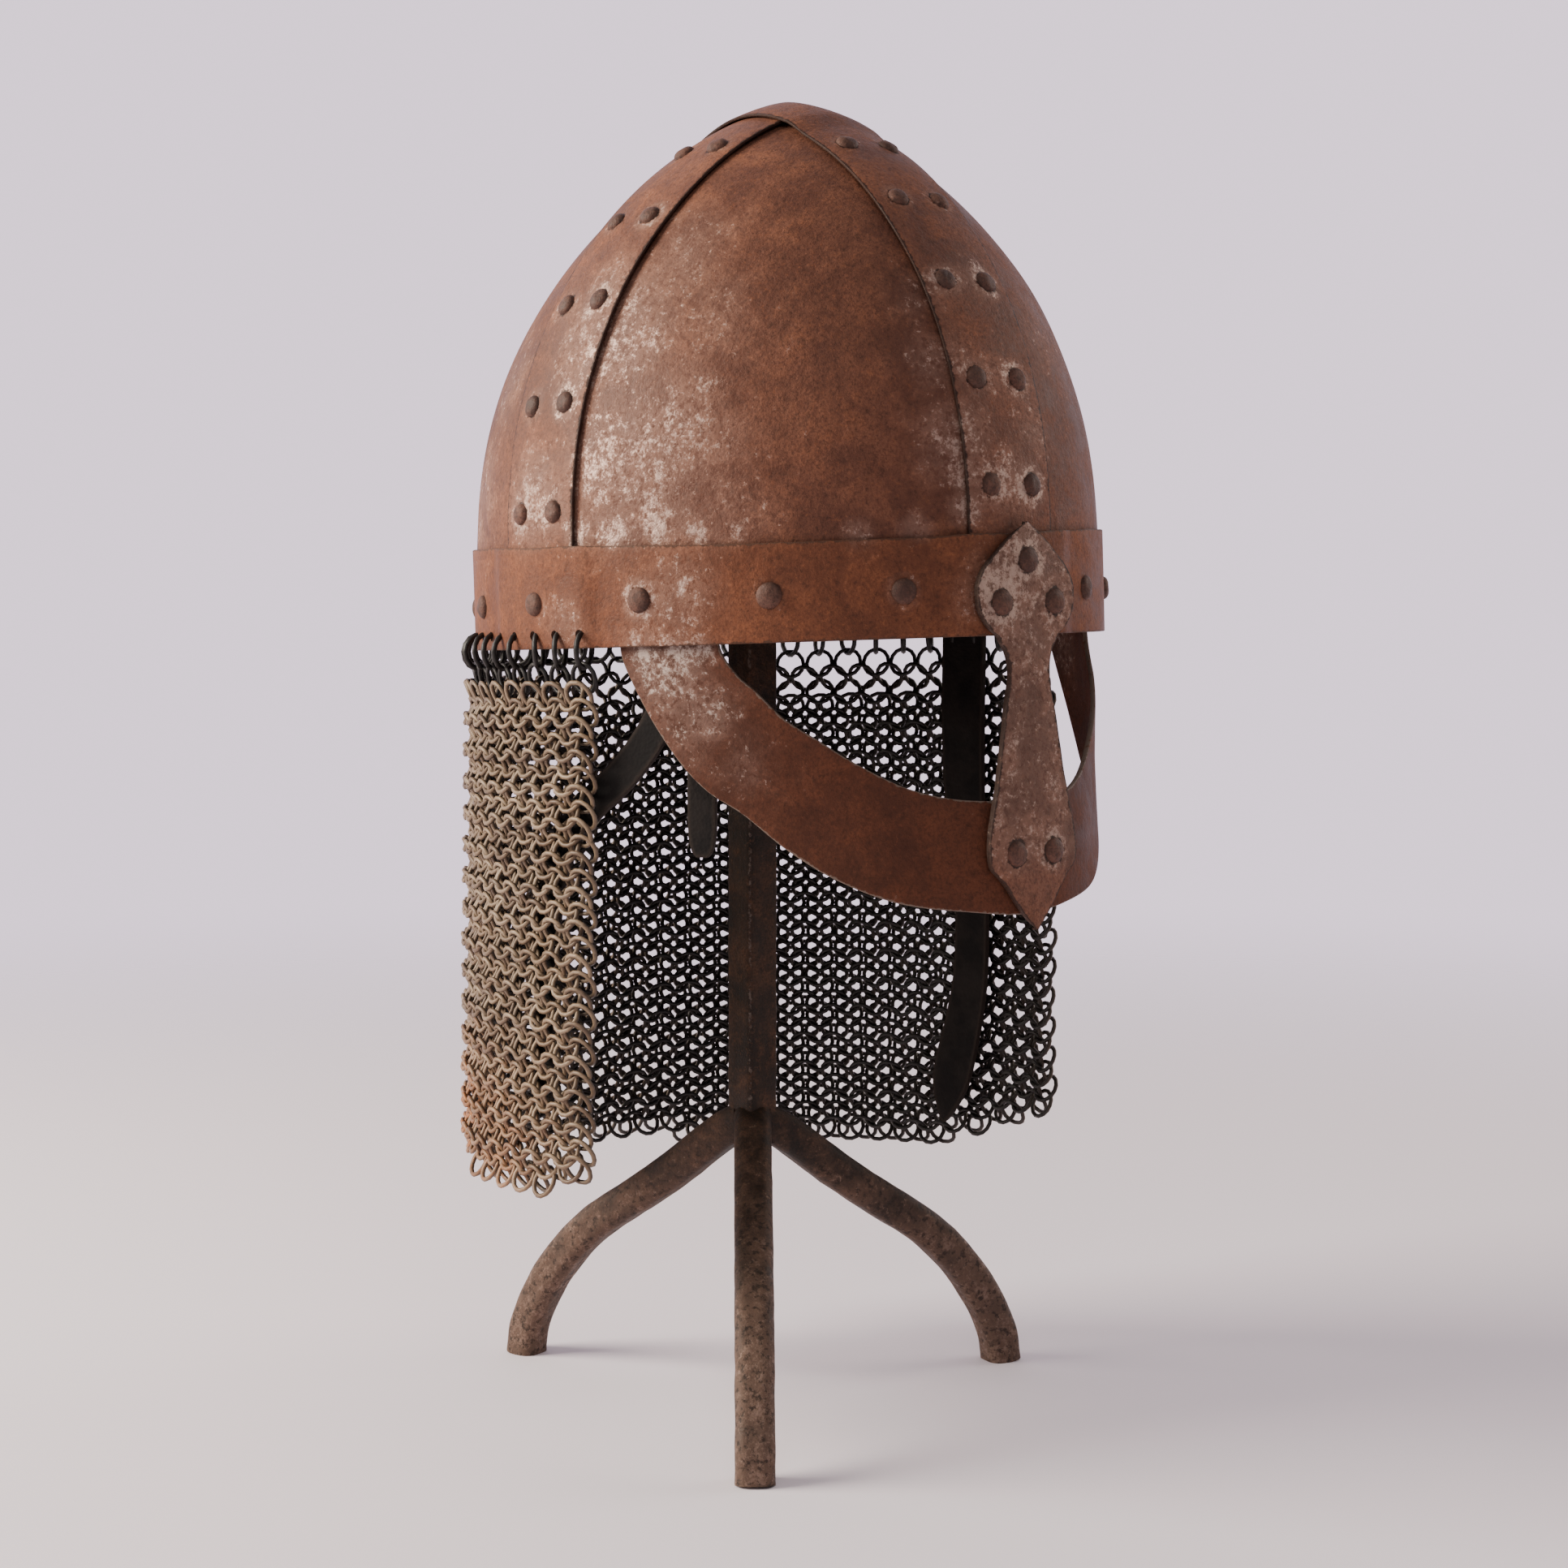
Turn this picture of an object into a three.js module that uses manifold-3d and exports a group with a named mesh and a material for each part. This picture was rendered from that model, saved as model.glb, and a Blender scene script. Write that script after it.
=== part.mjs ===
// Iron helmet with a spectacle guard, a nasal and a mail curtain, on a plain iron tripod.
// Millimetres, +Z up, the face of the helmet toward -Y, the wearer's right side toward -X.
import * as THREE from 'three';
import { mergeVertices } from 'three/addons/utils/BufferGeometryUtils.js';
import Module from 'manifold-3d';

const wasm = await Module();
wasm.setup();

// Skull: an oval wall as high as the band, closed by a dome that comes to a soft point.
const skullLength = 220;
const skullWidth = 202;
const bandHeight = 30.7;
const domeHeight = 146;
const domeFullness = 2.23;
const domeRoundness = 0.71;
const apexForward = 8.4;
const apexCurve = 1.7;

// Sheets.
const panelWall = 1;
const stripWall = 1;
const bandWall = 1.2;
const guardWall = 1.8;
const nasalWall = 2;
const strapWall = 2;
const strapSlack = 1.2;
const strapInset = 5;
const sheetGap = 0.55;
const seatGap = 0.3;
const panelTuck = 22.5;
const panelSeam = 2;
const stripWidth = 35;
const sideStripEnd = 1.5;
const stepMargin = 3;
const ridgeRamp = 11;
const bandRamp = 9;

// Rivets.
const stripRivetPitch = 17.3;
const stripRivetDiameter = 7.2;
const bandRivetDiameter = 8;
const bandRivetHeight = 14.4;
const bandRivetSpaces = 16;
const rivetHead = 2.2;
const rivetSink = 0.5;

// Nasal, guard, mail and straps, below the brim.
const nasalDrop = 92;
const nasalRise = 35;
const nasalWidth = 41.5;
const nasalShift = 1.5;
const nasalCurve = 0.35;
const guardDrop = 87;
const guardRootAngle = 72.7;
const mailDrop = 192;
const mailThickness = 3.8;
const mailFrontAngle = 77.5;
const mailFlare = 2.4;
const mailGap = 0.6;
const mailStandOff = 1.2;
const mailWave = 0.6;
const mailWaves = 7;
const longStrapDrop = 180;
const longStrapWidth = 17;
const shortStrapDrop = 150;
const shortStrapWidth = 11;
const strapTabDrop = 67;
const strapTabWidth = 10;

// Stand: a square bar, three bent square legs and a rounded cap under the skull.
const standHeight = 263.2;
const brimAcross = 3.5;
const brimForward = 14.7;
const barWidth = 13;
const barEdge = 1.8;
const postFoot = 79;
const footRadius = 101;
const legRise = 97;
const legAngles = [38.8, 163.4, 282.9];
const capDiameter = 44;
const capDepth = 20;

// The helmet sits on the cap tipped back and a little to its right.
const tipBack = 1.95;
const tipRight = 0.72;

const halfLength = skullLength / 2;
const halfWidth = skullWidth / 2;
const panelFoot = bandHeight - panelTuck;
const stripFace = sheetGap + stripWall;
const bandFace = stripFace + seatGap + bandWall;
const crossing = stripWidth / 2;
const degrees = Math.PI / 180;

// Height above the band as a share of the dome, 0 on the wall below it.
function domeShare(z) {
  return Math.min(Math.max((z - bandHeight) / domeHeight, 0), 1);
}

function domeScale(z) {
  return (1 - domeShare(z) ** domeFullness) ** domeRoundness;
}

function domeLean(z) {
  return -apexForward * domeShare(z) ** apexCurve;
}

// Outward normal of the skull's surface at a point on it.
function skullNormal(point) {
  const share = domeShare(point.z);
  const open = Math.max(1 - share ** domeFullness, 1e-6);
  const y = point.y - domeLean(point.z);
  const across = 2 * point.x / halfWidth ** 2;
  const along = 2 * y / halfLength ** 2;
  const power = 2 * domeRoundness;
  const narrowing = domeFullness * share ** (domeFullness - 1) / domeHeight;
  const leaning = apexForward * apexCurve * share ** (apexCurve - 1) / domeHeight;
  const up = power * open ** (power - 1) * narrowing + along * leaning;
  return new THREE.Vector3(across, along, up).normalize();
}

// A point at an angle from the face, turning to the wearer's right, and at a height.
function onSkull(angle, z, offset = 0) {
  const scale = domeScale(z);
  const x = -halfWidth * scale * Math.sin(angle * degrees);
  const y = -halfLength * scale * Math.cos(angle * degrees) + domeLean(z);
  const point = new THREE.Vector3(x, y, z);
  return point.addScaledVector(skullNormal(point), offset);
}

// The same on the wall carried straight on above and below the band.
function onWall(angle, z, offset = 0) {
  const point = onSkull(angle, Math.min(z, bandHeight), offset);
  point.z = z;
  return point;
}

// Where a line from inside the skull, starting at (x, y) and leaving in a direction, meets it.
const castHeight = 100;
function cast(x, y, dx, dy, dz) {
  let near = 0;
  let far = 3 * (halfLength + domeHeight);
  for (let step = 0; step < 50; step += 1) {
    const middle = (near + far) / 2;
    const px = x + dx * middle;
    const py = y + dy * middle;
    const pz = castHeight + dz * middle;
    const beyond = pz > bandHeight + domeHeight;
    const inside = !beyond && (px / halfWidth) ** 2 + (py / halfLength) ** 2 < domeScale(pz) ** 2;
    if (inside) near = middle;
    else far = middle;
  }
  const z = castHeight + dz * near;
  return new THREE.Vector3(x + dx * near, y + dy * near + domeLean(z), z);
}

// Linear reading of a table whose rows start with a rising key.
function readTable(rows, key) {
  const last = rows.length - 1;
  if (key <= rows[0][0]) return rows[0].slice(1);
  if (key >= rows[last][0]) return rows[last].slice(1);
  const index = rows.findIndex((row) => row[0] > key);
  const before = rows[index - 1];
  const after = rows[index];
  const share = (key - before[0]) / (after[0] - before[0]);
  return before.slice(1).map((value, column) => value + share * (after[column + 1] - value));
}

function smooth(edgeLow, edgeHigh, value) {
  return THREE.MathUtils.smoothstep(value, edgeLow, edgeHigh);
}

// Closed sheet from a grid: at(u, v, side) gives a point, side 0 is the inner face.
function sheet(countU, countV, at, closed = false) {
  const columns = closed ? countU : countU + 1;
  const rows = countV + 1;
  const positions = [];
  for (let side = 0; side < 2; side += 1) {
    for (let i = 0; i < columns; i += 1) {
      for (let j = 0; j < rows; j += 1) positions.push(...at(i / countU, j / countV, side).toArray());
    }
  }
  const index = (side, i, j) => side * columns * rows + (i % columns) * rows + j;
  const faces = [];
  const quad = (a, b, c, d) => faces.push(a, b, c, a, c, d);
  for (let i = 0; i < countU; i += 1) {
    for (let j = 0; j < countV; j += 1) {
      quad(index(1, i, j), index(1, i + 1, j), index(1, i + 1, j + 1), index(1, i, j + 1));
      quad(index(0, i, j), index(0, i, j + 1), index(0, i + 1, j + 1), index(0, i + 1, j));
    }
    quad(index(0, i, 0), index(0, i + 1, 0), index(1, i + 1, 0), index(1, i, 0));
    quad(index(0, i + 1, countV), index(0, i, countV), index(1, i, countV), index(1, i + 1, countV));
  }
  if (!closed) {
    for (let j = 0; j < countV; j += 1) {
      quad(index(0, 0, j + 1), index(0, 0, j), index(1, 0, j), index(1, 0, j + 1));
      quad(index(0, countU, j), index(0, countU, j + 1), index(1, countU, j + 1), index(1, countU, j));
    }
  }
  return outward(positions, faces);
}

// Geometry from points and triangles, turned so that its faces point out.
function outward(positions, faces) {
  const corner = (k) => new THREE.Vector3().fromArray(positions, 3 * faces[k]);
  let volume = 0;
  for (let k = 0; k < faces.length; k += 3) {
    volume += corner(k).dot(corner(k + 1).cross(corner(k + 2)));
  }
  const turned = [];
  for (let k = 0; k < faces.length; k += 3) {
    const [a, b, c] = faces.slice(k, k + 3);
    turned.push(...(volume > 0 ? [a, b, c] : [a, c, b]));
  }
  const geometry = new THREE.BufferGeometry();
  geometry.setAttribute('position', new THREE.Float32BufferAttribute(positions, 3));
  geometry.setIndex(turned);
  return geometry;
}

// Closed bar through sections, each a ring of points.
function loft(sections) {
  const count = sections[0].length;
  const positions = sections.flat().flatMap((point) => point.toArray());
  const faces = [];
  for (let i = 0; i < sections.length - 1; i += 1) {
    for (let j = 0; j < count; j += 1) {
      const a = i * count + j;
      const b = i * count + (j + 1) % count;
      faces.push(a, b, b + count, a, b + count, a + count);
    }
  }
  const last = (sections.length - 1) * count;
  for (let j = 1; j < count - 1; j += 1) {
    faces.push(0, j + 1, j, last, last + j, last + j + 1);
  }
  return outward(positions, faces);
}

function toSolid(geometry) {
  const bare = geometry.clone();
  bare.deleteAttribute('normal');
  bare.deleteAttribute('uv');
  const merged = mergeVertices(bare, 1e-4);
  const vertProperties = new Float32Array(merged.attributes.position.array);
  const triVerts = new Uint32Array(merged.index.array);
  return new wasm.Manifold(new wasm.Mesh({ numProp: 3, vertProperties, triVerts }));
}

function toGeometry(solid) {
  const mesh = solid.getMesh();
  const geometry = new THREE.BufferGeometry();
  geometry.setAttribute('position', new THREE.Float32BufferAttribute(mesh.vertProperties, 3));
  geometry.setIndex(Array.from(mesh.triVerts));
  return geometry;
}

function join(geometries) {
  const solids = geometries.map(toSolid);
  return toGeometry(solids.reduce((whole, solid) => whole.add(solid)));
}

// Domed rivet head standing along +Z from its seat; steps are (radius, height) shares.
function rivetShape(diameter, height, steps, sides) {
  const profile = [[0, 0], [1, 0], ...steps, [0, 1]].map(([radius, rise]) => {
    return new THREE.Vector2(radius * diameter / 2, rise * height);
  });
  return new THREE.LatheGeometry(profile, sides).rotateX(Math.PI / 2);
}

// Puts a shape that stands along +Z onto the skull, along the surface's normal.
function seat(geometry, point, offset, normal = skullNormal(point)) {
  const turn = new THREE.Quaternion().setFromUnitVectors(new THREE.Vector3(0, 0, 1), normal);
  const place = point.clone().addScaledVector(normal, offset);
  return geometry.clone().applyQuaternion(turn).translate(place.x, place.y, place.z);
}

const iron = (color) => new THREE.MeshStandardMaterial({ color, roughness: 0.62, metalness: 0.75 });
const materials = {
  plate: iron(0x7a4b38),
  band: iron(0x85543e),
  guard: iron(0x7f5241),
  rivet: iron(0x6e5648),
  mail: iron(0x8a7458),
  stand: iron(0x3b2c26),
  leather: new THREE.MeshStandardMaterial({ color: 0x17130f, roughness: 0.7, metalness: 0 }),
};

function piece(name, geometry, material) {
  const mesh = new THREE.Mesh(geometry, material);
  mesh.name = name;
  return mesh;
}

// Four panels, each a quarter of the skull, meeting under the strips.
function panel(fromAngle) {
  const columns = 10;
  const rows = 11;
  const topShare = 0.985;
  const at = (u, v, side) => {
    const lift = Math.max(v * rows - 1, 0) / (rows - 1);
    const share = Math.sin(lift * Math.asin(topShare));
    const z = v === 0 ? panelFoot : bandHeight + share * domeHeight;
    const scale = domeScale(z);
    const edgeAcross = Math.asin(panelSeam / 2 / (halfWidth * scale)) / degrees;
    const edgeAlong = Math.asin(panelSeam / 2 / (halfLength * scale)) / degrees;
    const startsOnRidge = fromAngle % 180 === 0;
    const start = fromAngle + (startsOnRidge ? edgeAcross : edgeAlong);
    const end = fromAngle + 90 - (startsOnRidge ? edgeAlong : edgeAcross);
    return onSkull(start + u * (end - start), z, (side - 1) * panelWall);
  };
  return sheet(columns, rows, at);
}

// Strips: lines cast from inside the skull, so that they keep their width over the top.
const stripStart = -Math.atan2(castHeight - panelFoot, halfLength);
const sideStart = -Math.atan2(castHeight - panelFoot, halfWidth);

function ridgeStrip() {
  const at = (u, v, side) => {
    const spread = Math.sign(u - 0.5) * Math.abs(2 * u - 1) ** 1.2;
    const angle = Math.PI / 2 + spread * (Math.PI / 2 - stripStart);
    const point = cast((v - 0.5) * stripWidth, 0, 0, -Math.cos(angle), Math.sin(angle));
    const fromTop = Math.abs(point.y - domeLean(point.z));
    const rampStart = crossing + stepMargin;
    const over = stripFace * (1 - smooth(rampStart, rampStart + ridgeRamp, fromTop));
    return point.addScaledVector(skullNormal(point), sheetGap + over + side * stripWall);
  };
  return sheet(46, 4, at);
}

function sideStrip(sign) {
  const topAngle = Math.PI / 2 - Math.atan2(sideStripEnd, bandHeight + domeHeight - castHeight);
  const at = (u, v, side) => {
    const angle = sideStart + (1 - (1 - u) ** 1.25) * (topAngle - sideStart);
    const point = cast(0, (v - 0.5) * stripWidth, sign * Math.cos(angle), 0, Math.sin(angle));
    return point.addScaledVector(skullNormal(point), sheetGap + side * stripWall);
  };
  return sheet(22, 4, at);
}

// Rows of rivets on the strips, as shares of the dome's height.
const ridgeRivetShares = [0.108, 0.334, 0.547, 0.737, 0.875];
const sideRivetShares = [0.085, 0.318, 0.539, 0.725, 0.886];

function stripRivets(angles, shares) {
  const shape = rivetShape(stripRivetDiameter, rivetHead + rivetSink, [[0.72, 0.72]], 8);
  const heads = [];
  for (const angle of angles) {
    for (const share of shares) {
      for (const across of [-1, 1]) {
        const z = bandHeight + share * domeHeight;
        const half = angle % 180 === 0 ? halfWidth : halfLength;
        const swing = Math.asin(stripRivetPitch / 2 / (half * domeScale(z))) / degrees;
        heads.push(seat(shape, onSkull(angle + across * swing, z), stripFace - rivetSink));
      }
    }
  }
  return heads;
}

// The band hugs the panels and steps out over the foot of each strip.
function bandLift(angle) {
  const nearest = Math.abs(angle - 90 * Math.round(angle / 90));
  const half = Math.round(angle / 90) % 2 === 0 ? halfWidth : halfLength;
  const away = nearest * degrees * half;
  const rampStart = crossing + stepMargin;
  return stripFace * (1 - smooth(rampStart, rampStart + bandRamp, away));
}

function browBand() {
  const at = (u, v, side) => {
    const angle = u * 360;
    return onWall(angle, v * bandHeight, seatGap + bandLift(angle) + side * bandWall);
  };
  return sheet(96, 1, at, true);
}

// Nasal: height as a share of its drop (below) or rise (above), half width as a share.
const nasalTable = [
  [-1, 0.02],
  [-0.92, 0.34],
  [-0.825, 0.66],
  [-0.77, 0.88],
  [-0.67, 0.885],
  [-0.58, 0.79],
  [-0.48, 0.69],
  [-0.37, 0.6],
  [-0.26, 0.51],
  [-0.14, 0.41],
  [-0.065, 0.45],
  [-0.01, 0.6],
  [0.07, 0.8],
  [0.23, 0.98],
  [0.41, 1],
  [0.58, 0.87],
  [0.77, 0.54],
  [0.9, 0.26],
  [1, 0.02],
];

function nasalHeight(share) {
  return share < 0 ? share * nasalDrop : share * nasalRise;
}

// The nasal follows only a share of the skull's curve and sits a little to one side.
function onNasal(across, z, offset) {
  const front = (x) => -halfLength * Math.sqrt(1 - (x / halfWidth) ** 2);
  const middle = front(nasalShift);
  const y = middle + nasalCurve * (front(nasalShift + across) - middle);
  return new THREE.Vector3(nasalShift + across, y - offset, z);
}

function nasal() {
  const rows = nasalTable.length - 1;
  const at = (u, v, side) => {
    const [share, width] = nasalTable[Math.round(u * rows)];
    const across = (v - 0.5) * nasalWidth * width;
    return onNasal(across, nasalHeight(share), bandFace + seatGap + side * nasalWall);
  };
  return sheet(rows, 4, at);
}

// Guard: upper and lower edge of each section from the right root to the middle. Angles are
// shares of the root's, heights shares of the drop, the last column how far it stands out.
const guardTable = [
  [0.757, 0.25, 1, 0.25, 0],
  [0.75, 0.09, 1, 0.09, 0],
  [0.742, -0.02, 1, -0.02, 0],
  [0.705, -0.108, 0.973, -0.12, 0],
  [0.657, -0.175, 0.915, -0.276, 0],
  [0.595, -0.27, 0.85, -0.418, -0.05],
  [0.52, -0.345, 0.785, -0.52, -0.15],
  [0.455, -0.41, 0.7, -0.605, -0.25],
  [0.375, -0.478, 0.6, -0.73, -0.2],
  [0.3, -0.53, 0.485, -0.84, 0],
  [0.21, -0.567, 0.34, -0.93, 0.4],
  [0.11, -0.585, 0.165, -0.975, 0.85],
  [0, -0.59, 0, -1, 1],
];

function eyeGuard() {
  const half = guardTable.length - 1;
  const rootOffset = -panelWall - 2 * seatGap - guardWall;
  const frontOffset = bandFace - guardWall;
  const at = (u, v, side) => {
    const step = Math.round(u * 2 * half);
    const right = step <= half;
    const [upAngle, upHeight, lowAngle, lowHeight, out] = guardTable[right ? step : 2 * half - step];
    const turn = (upAngle + v * (lowAngle - upAngle)) * guardRootAngle * (right ? 1 : -1);
    const z = (upHeight + v * (lowHeight - upHeight)) * guardDrop;
    return onWall(turn, z, rootOffset + out * (frontOffset - rootOffset) + side * guardWall);
  };
  return sheet(2 * half, 4, at);
}

// Helmet frame to the upright frame that has the same origin, the middle of the brim.
const tip = new THREE.Euler(-tipBack * degrees, -tipRight * degrees, 0, 'YXZ');

function brimHeight(angle) {
  return onWall(angle, 0).applyEuler(tip).z;
}

// Lower edge of the mail: angle round the wearer's right, and drop as a share.
const hemTable = [
  [77, 0.895],
  [84, 0.91],
  [92, 0.925],
  [125, 0.92],
  [155, 0.97],
  [180, 1],
  [220, 1.015],
  [240, 1.012],
  [256, 0.99],
  [272, 0.935],
  [284, 0.9],
];

// The mail's curtain hangs plumb from the brim, round the back from temple to temple.
function mailCurtain() {
  const inner = seatGap + bandWall / 2 - mailThickness / 2 + mailStandOff;
  const at = (u, v, side) => {
    const angle = mailFrontAngle + u * (360 - 2 * mailFrontAngle);
    const top = brimHeight(angle) - mailGap;
    const [share] = readTable(hemTable, angle);
    const z = top + v * (-share * mailDrop - top);
    const wave = mailWave * Math.sin(angle * mailWaves * degrees) * v;
    return onWall(angle, z, inner + mailFlare * v + wave + side * mailThickness);
  };
  return sheet(54, 5, at);
}

// A strap: centre line as rows of (angle, drop share), width share per row; it hangs inside.
function strap(rows, drop, width) {
  const outer = -panelWall - strapSlack - strapWall;
  const line = rows.map(([angle, share]) => new THREE.Vector2(angle * degrees * halfLength, -share * drop));
  const at = (u, v, side) => {
    const step = Math.round(u * (rows.length - 1));
    const ahead = line[Math.min(step + 1, rows.length - 1)];
    const behind = line[Math.max(step - 1, 0)];
    const along = ahead.clone().sub(behind).normalize();
    const reach = (v - 0.5) * width * rows[step][2];
    const across = line[step].x - along.y * reach;
    const z = line[step].y + along.x * reach;
    const offset = outer + rows[step][3] * strapInset + side * strapWall;
    return onWall(across / halfLength / degrees, z, offset);
  };
  return sheet(rows.length - 1, 2, at);
}

// Columns: angle, drop share, width share, share of the inset.
const longStrapRows = [
  [263, -0.11, 1, 0],
  [263, 0.02, 1, 0],
  [263, 0.15, 1, -0.08],
  [263, 0.3, 1, -0.16],
  [264, 0.45, 0.96, -0.24],
  [265, 0.57, 0.92, -0.28],
  [264.5, 0.7, 0.94, -0.28],
  [262.5, 0.8, 0.98, -0.24],
  [260, 0.89, 1, -0.2],
  [258.8, 0.94, 0.78, -0.2],
  [258, 0.985, 0.3, -0.2],
  [257.6, 1, 0.06, -0.2],
];
const shortStrapRows = [
  [61, -0.1, 1, -0.3],
  [63, 0.06, 1, -0.3],
  [67, 0.17, 1, -0.34],
  [73, 0.26, 1, -0.32],
  [79.5, 0.325, 1, -0.2],
  [86, 0.4, 1, -0.12],
  [90, 0.5, 1, -0.1],
  [92, 0.64, 1, -0.1],
  [93, 0.82, 1, -0.1],
  [93, 0.94, 0.9, -0.1],
  [93, 0.99, 0.5, -0.1],
  [93, 1, 0.2, -0.1],
];
const tabRows = [
  [58.4, -0.2, 1, -0.8],
  [58.4, 0.1, 1, -0.8],
  [58.4, 0.5, 1, -0.84],
  [58.4, 0.85, 1, -0.92],
  [58.4, 0.96, 0.78, -0.92],
  [58.4, 1, 0.4, -0.92],
];

// Square bar section with its corners taken off, in a plane given by two directions.
function barSection(centre, sideways, upward, width, edge) {
  const half = width / 2;
  const short = half - edge;
  const corners = [
    [half, short], [short, half], [-short, half], [-half, short],
    [-half, -short], [-short, -half], [short, -half], [half, -short],
  ];
  return corners.map(([a, b]) => centre.clone().addScaledVector(sideways, a).addScaledVector(upward, b));
}

// Leg centre line: reach as a share of the foot's, height as a share of the rise.
const legTable = [
  [0.02, 1],
  [0.12, 0.945],
  [0.33, 0.78],
  [0.5, 0.66],
  [0.62, 0.58],
  [0.72, 0.5],
  [0.81, 0.405],
  [0.885, 0.305],
  [0.945, 0.2],
  [0.985, 0.1],
  [1, 0],
];

function leg(angle) {
  const away = new THREE.Vector3(-Math.sin(angle * degrees), -Math.cos(angle * degrees), 0);
  const sideways = new THREE.Vector3(away.y, -away.x, 0);
  const centres = legTable.map(([reach, rise]) => {
    return away.clone().multiplyScalar(reach * footRadius).setZ(rise * legRise);
  });
  const sections = centres.map((centre, i) => {
    const along = centres[Math.min(i + 1, centres.length - 1)].clone().sub(centres[Math.max(i - 1, 0)]);
    if (i === centres.length - 1) along.set(0, 0, -1);
    const upward = sideways.clone().cross(along.normalize());
    return barSection(centre, sideways, upward, barWidth, barEdge);
  });
  return loft(sections);
}

// Inner volume of the skull below the cap's top, in the stand's frame.
function capTop() {
  const rows = 14;
  const columns = 40;
  const topShare = 0.9995;
  const sections = [];
  for (let j = 0; j <= rows; j += 1) {
    const share = Math.sin((j / rows) * Math.asin(topShare));
    const z = bandHeight + share * domeHeight;
    const ring = [];
    for (let i = 0; i < columns; i += 1) {
      ring.push(onSkull(i * 360 / columns, z, -panelWall - 2 * seatGap).applyEuler(tip).add(brimCentre));
    }
    sections.push(ring);
  }
  return loft(sections);
}

const brimCentre = new THREE.Vector3(brimAcross, -brimForward, standHeight);

function stand() {
  const inside = toSolid(capTop());
  const up = new THREE.Vector3(0, 0, 1);
  const east = new THREE.Vector3(1, 0, 0);
  const north = new THREE.Vector3(0, 1, 0);
  const skullTop = standHeight + bandHeight + domeHeight;
  const post = loft([postFoot, skullTop].map((z) => {
    return barSection(up.clone().multiplyScalar(z), east, north, barWidth, barEdge);
  }));
  const capFoot = skullTop - capDepth - capDiameter / 4;
  const cap = new THREE.CylinderGeometry(capDiameter / 2, capDiameter / 2, capDiameter, 24);
  cap.rotateX(Math.PI / 2).translate(0, 0, capFoot + capDiameter / 2);
  const top = toSolid(post).add(toSolid(cap));
  const lower = toSolid(loft([postFoot, capFoot].map((z) => {
    return barSection(up.clone().multiplyScalar(z), east, north, barWidth, barEdge);
  })));
  let whole = top.intersect(inside).add(lower);
  for (const angle of legAngles) whole = whole.add(toSolid(leg(angle)));
  return toGeometry(whole);
}

const helmet = new THREE.Group();
helmet.setRotationFromEuler(tip);
helmet.position.copy(brimCentre);
['right_front', 'right_back', 'left_back', 'left_front'].forEach((place, i) => {
  helmet.add(piece(`panel_${place}`, panel(90 * i), materials.plate));
});
helmet.add(piece('ridge_strip', join([ridgeStrip(), ...stripRivets([0, 180], ridgeRivetShares)]), materials.plate));
helmet.add(piece('side_strip_right', join([sideStrip(-1), ...stripRivets([90], sideRivetShares)]), materials.plate));
helmet.add(piece('side_strip_left', join([sideStrip(1), ...stripRivets([270], sideRivetShares)]), materials.plate));
helmet.add(piece('brow_band', browBand(), materials.band));

const bandRivet = rivetShape(bandRivetDiameter, rivetHead, [[0.92, 0.45], [0.55, 0.88]], 10);
for (let i = 1; i < bandRivetSpaces; i += 1) {
  const angle = i * 360 / bandRivetSpaces;
  const offset = seatGap + bandLift(angle) + bandWall + seatGap;
  const head = seat(bandRivet, onSkull(angle, bandRivetHeight), offset);
  helmet.add(piece(`band_rivet_${String(i).padStart(2, '0')}`, head, materials.rivet));
}

helmet.add(piece('nasal', nasal(), materials.guard));
helmet.add(piece('eye_guard', eyeGuard(), materials.guard));

// Nasal rivets: name, across as a share of the half width, height as a share.
const nasalRivets = [
  ['top', 0, 0.66],
  ['upper_right', -0.55, 0.29],
  ['upper_left', 0.55, 0.29],
  ['lower_right', -0.39, -0.735],
  ['lower_left', 0.39, -0.735],
];
for (const [place, across, share] of nasalRivets) {
  const point = onNasal(across * nasalWidth / 2, nasalHeight(share), 0);
  const head = seat(bandRivet, point, bandFace + nasalWall + 2 * seatGap, new THREE.Vector3(0, -1, 0));
  helmet.add(piece(`nasal_rivet_${place}`, head, materials.rivet));
}

const hanging = new THREE.Group();
hanging.position.copy(brimCentre);
hanging.add(piece('mail_curtain', mailCurtain(), materials.mail));
hanging.add(piece('chin_strap_long', strap(longStrapRows, longStrapDrop, longStrapWidth), materials.leather));
hanging.add(piece('chin_strap_short', strap(shortStrapRows, shortStrapDrop, shortStrapWidth), materials.leather));
hanging.add(piece('chin_strap_tab', strap(tabRows, strapTabDrop, strapTabWidth), materials.leather));

const whole = new THREE.Group();
whole.add(helmet, hanging, piece('tripod_stand', stand(), materials.stand));

// Origin: on the floor, under the middle of the object's box.
whole.updateMatrixWorld(true);
const box = new THREE.Box3().setFromObject(whole, true);
whole.position.set(-(box.min.x + box.max.x) / 2, -(box.min.y + box.max.y) / 2, -box.min.z);

const model = new THREE.Group();
model.add(whole);

export default model;
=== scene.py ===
import bpy
import math
import random
import numpy as np
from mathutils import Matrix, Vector, noise


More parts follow.
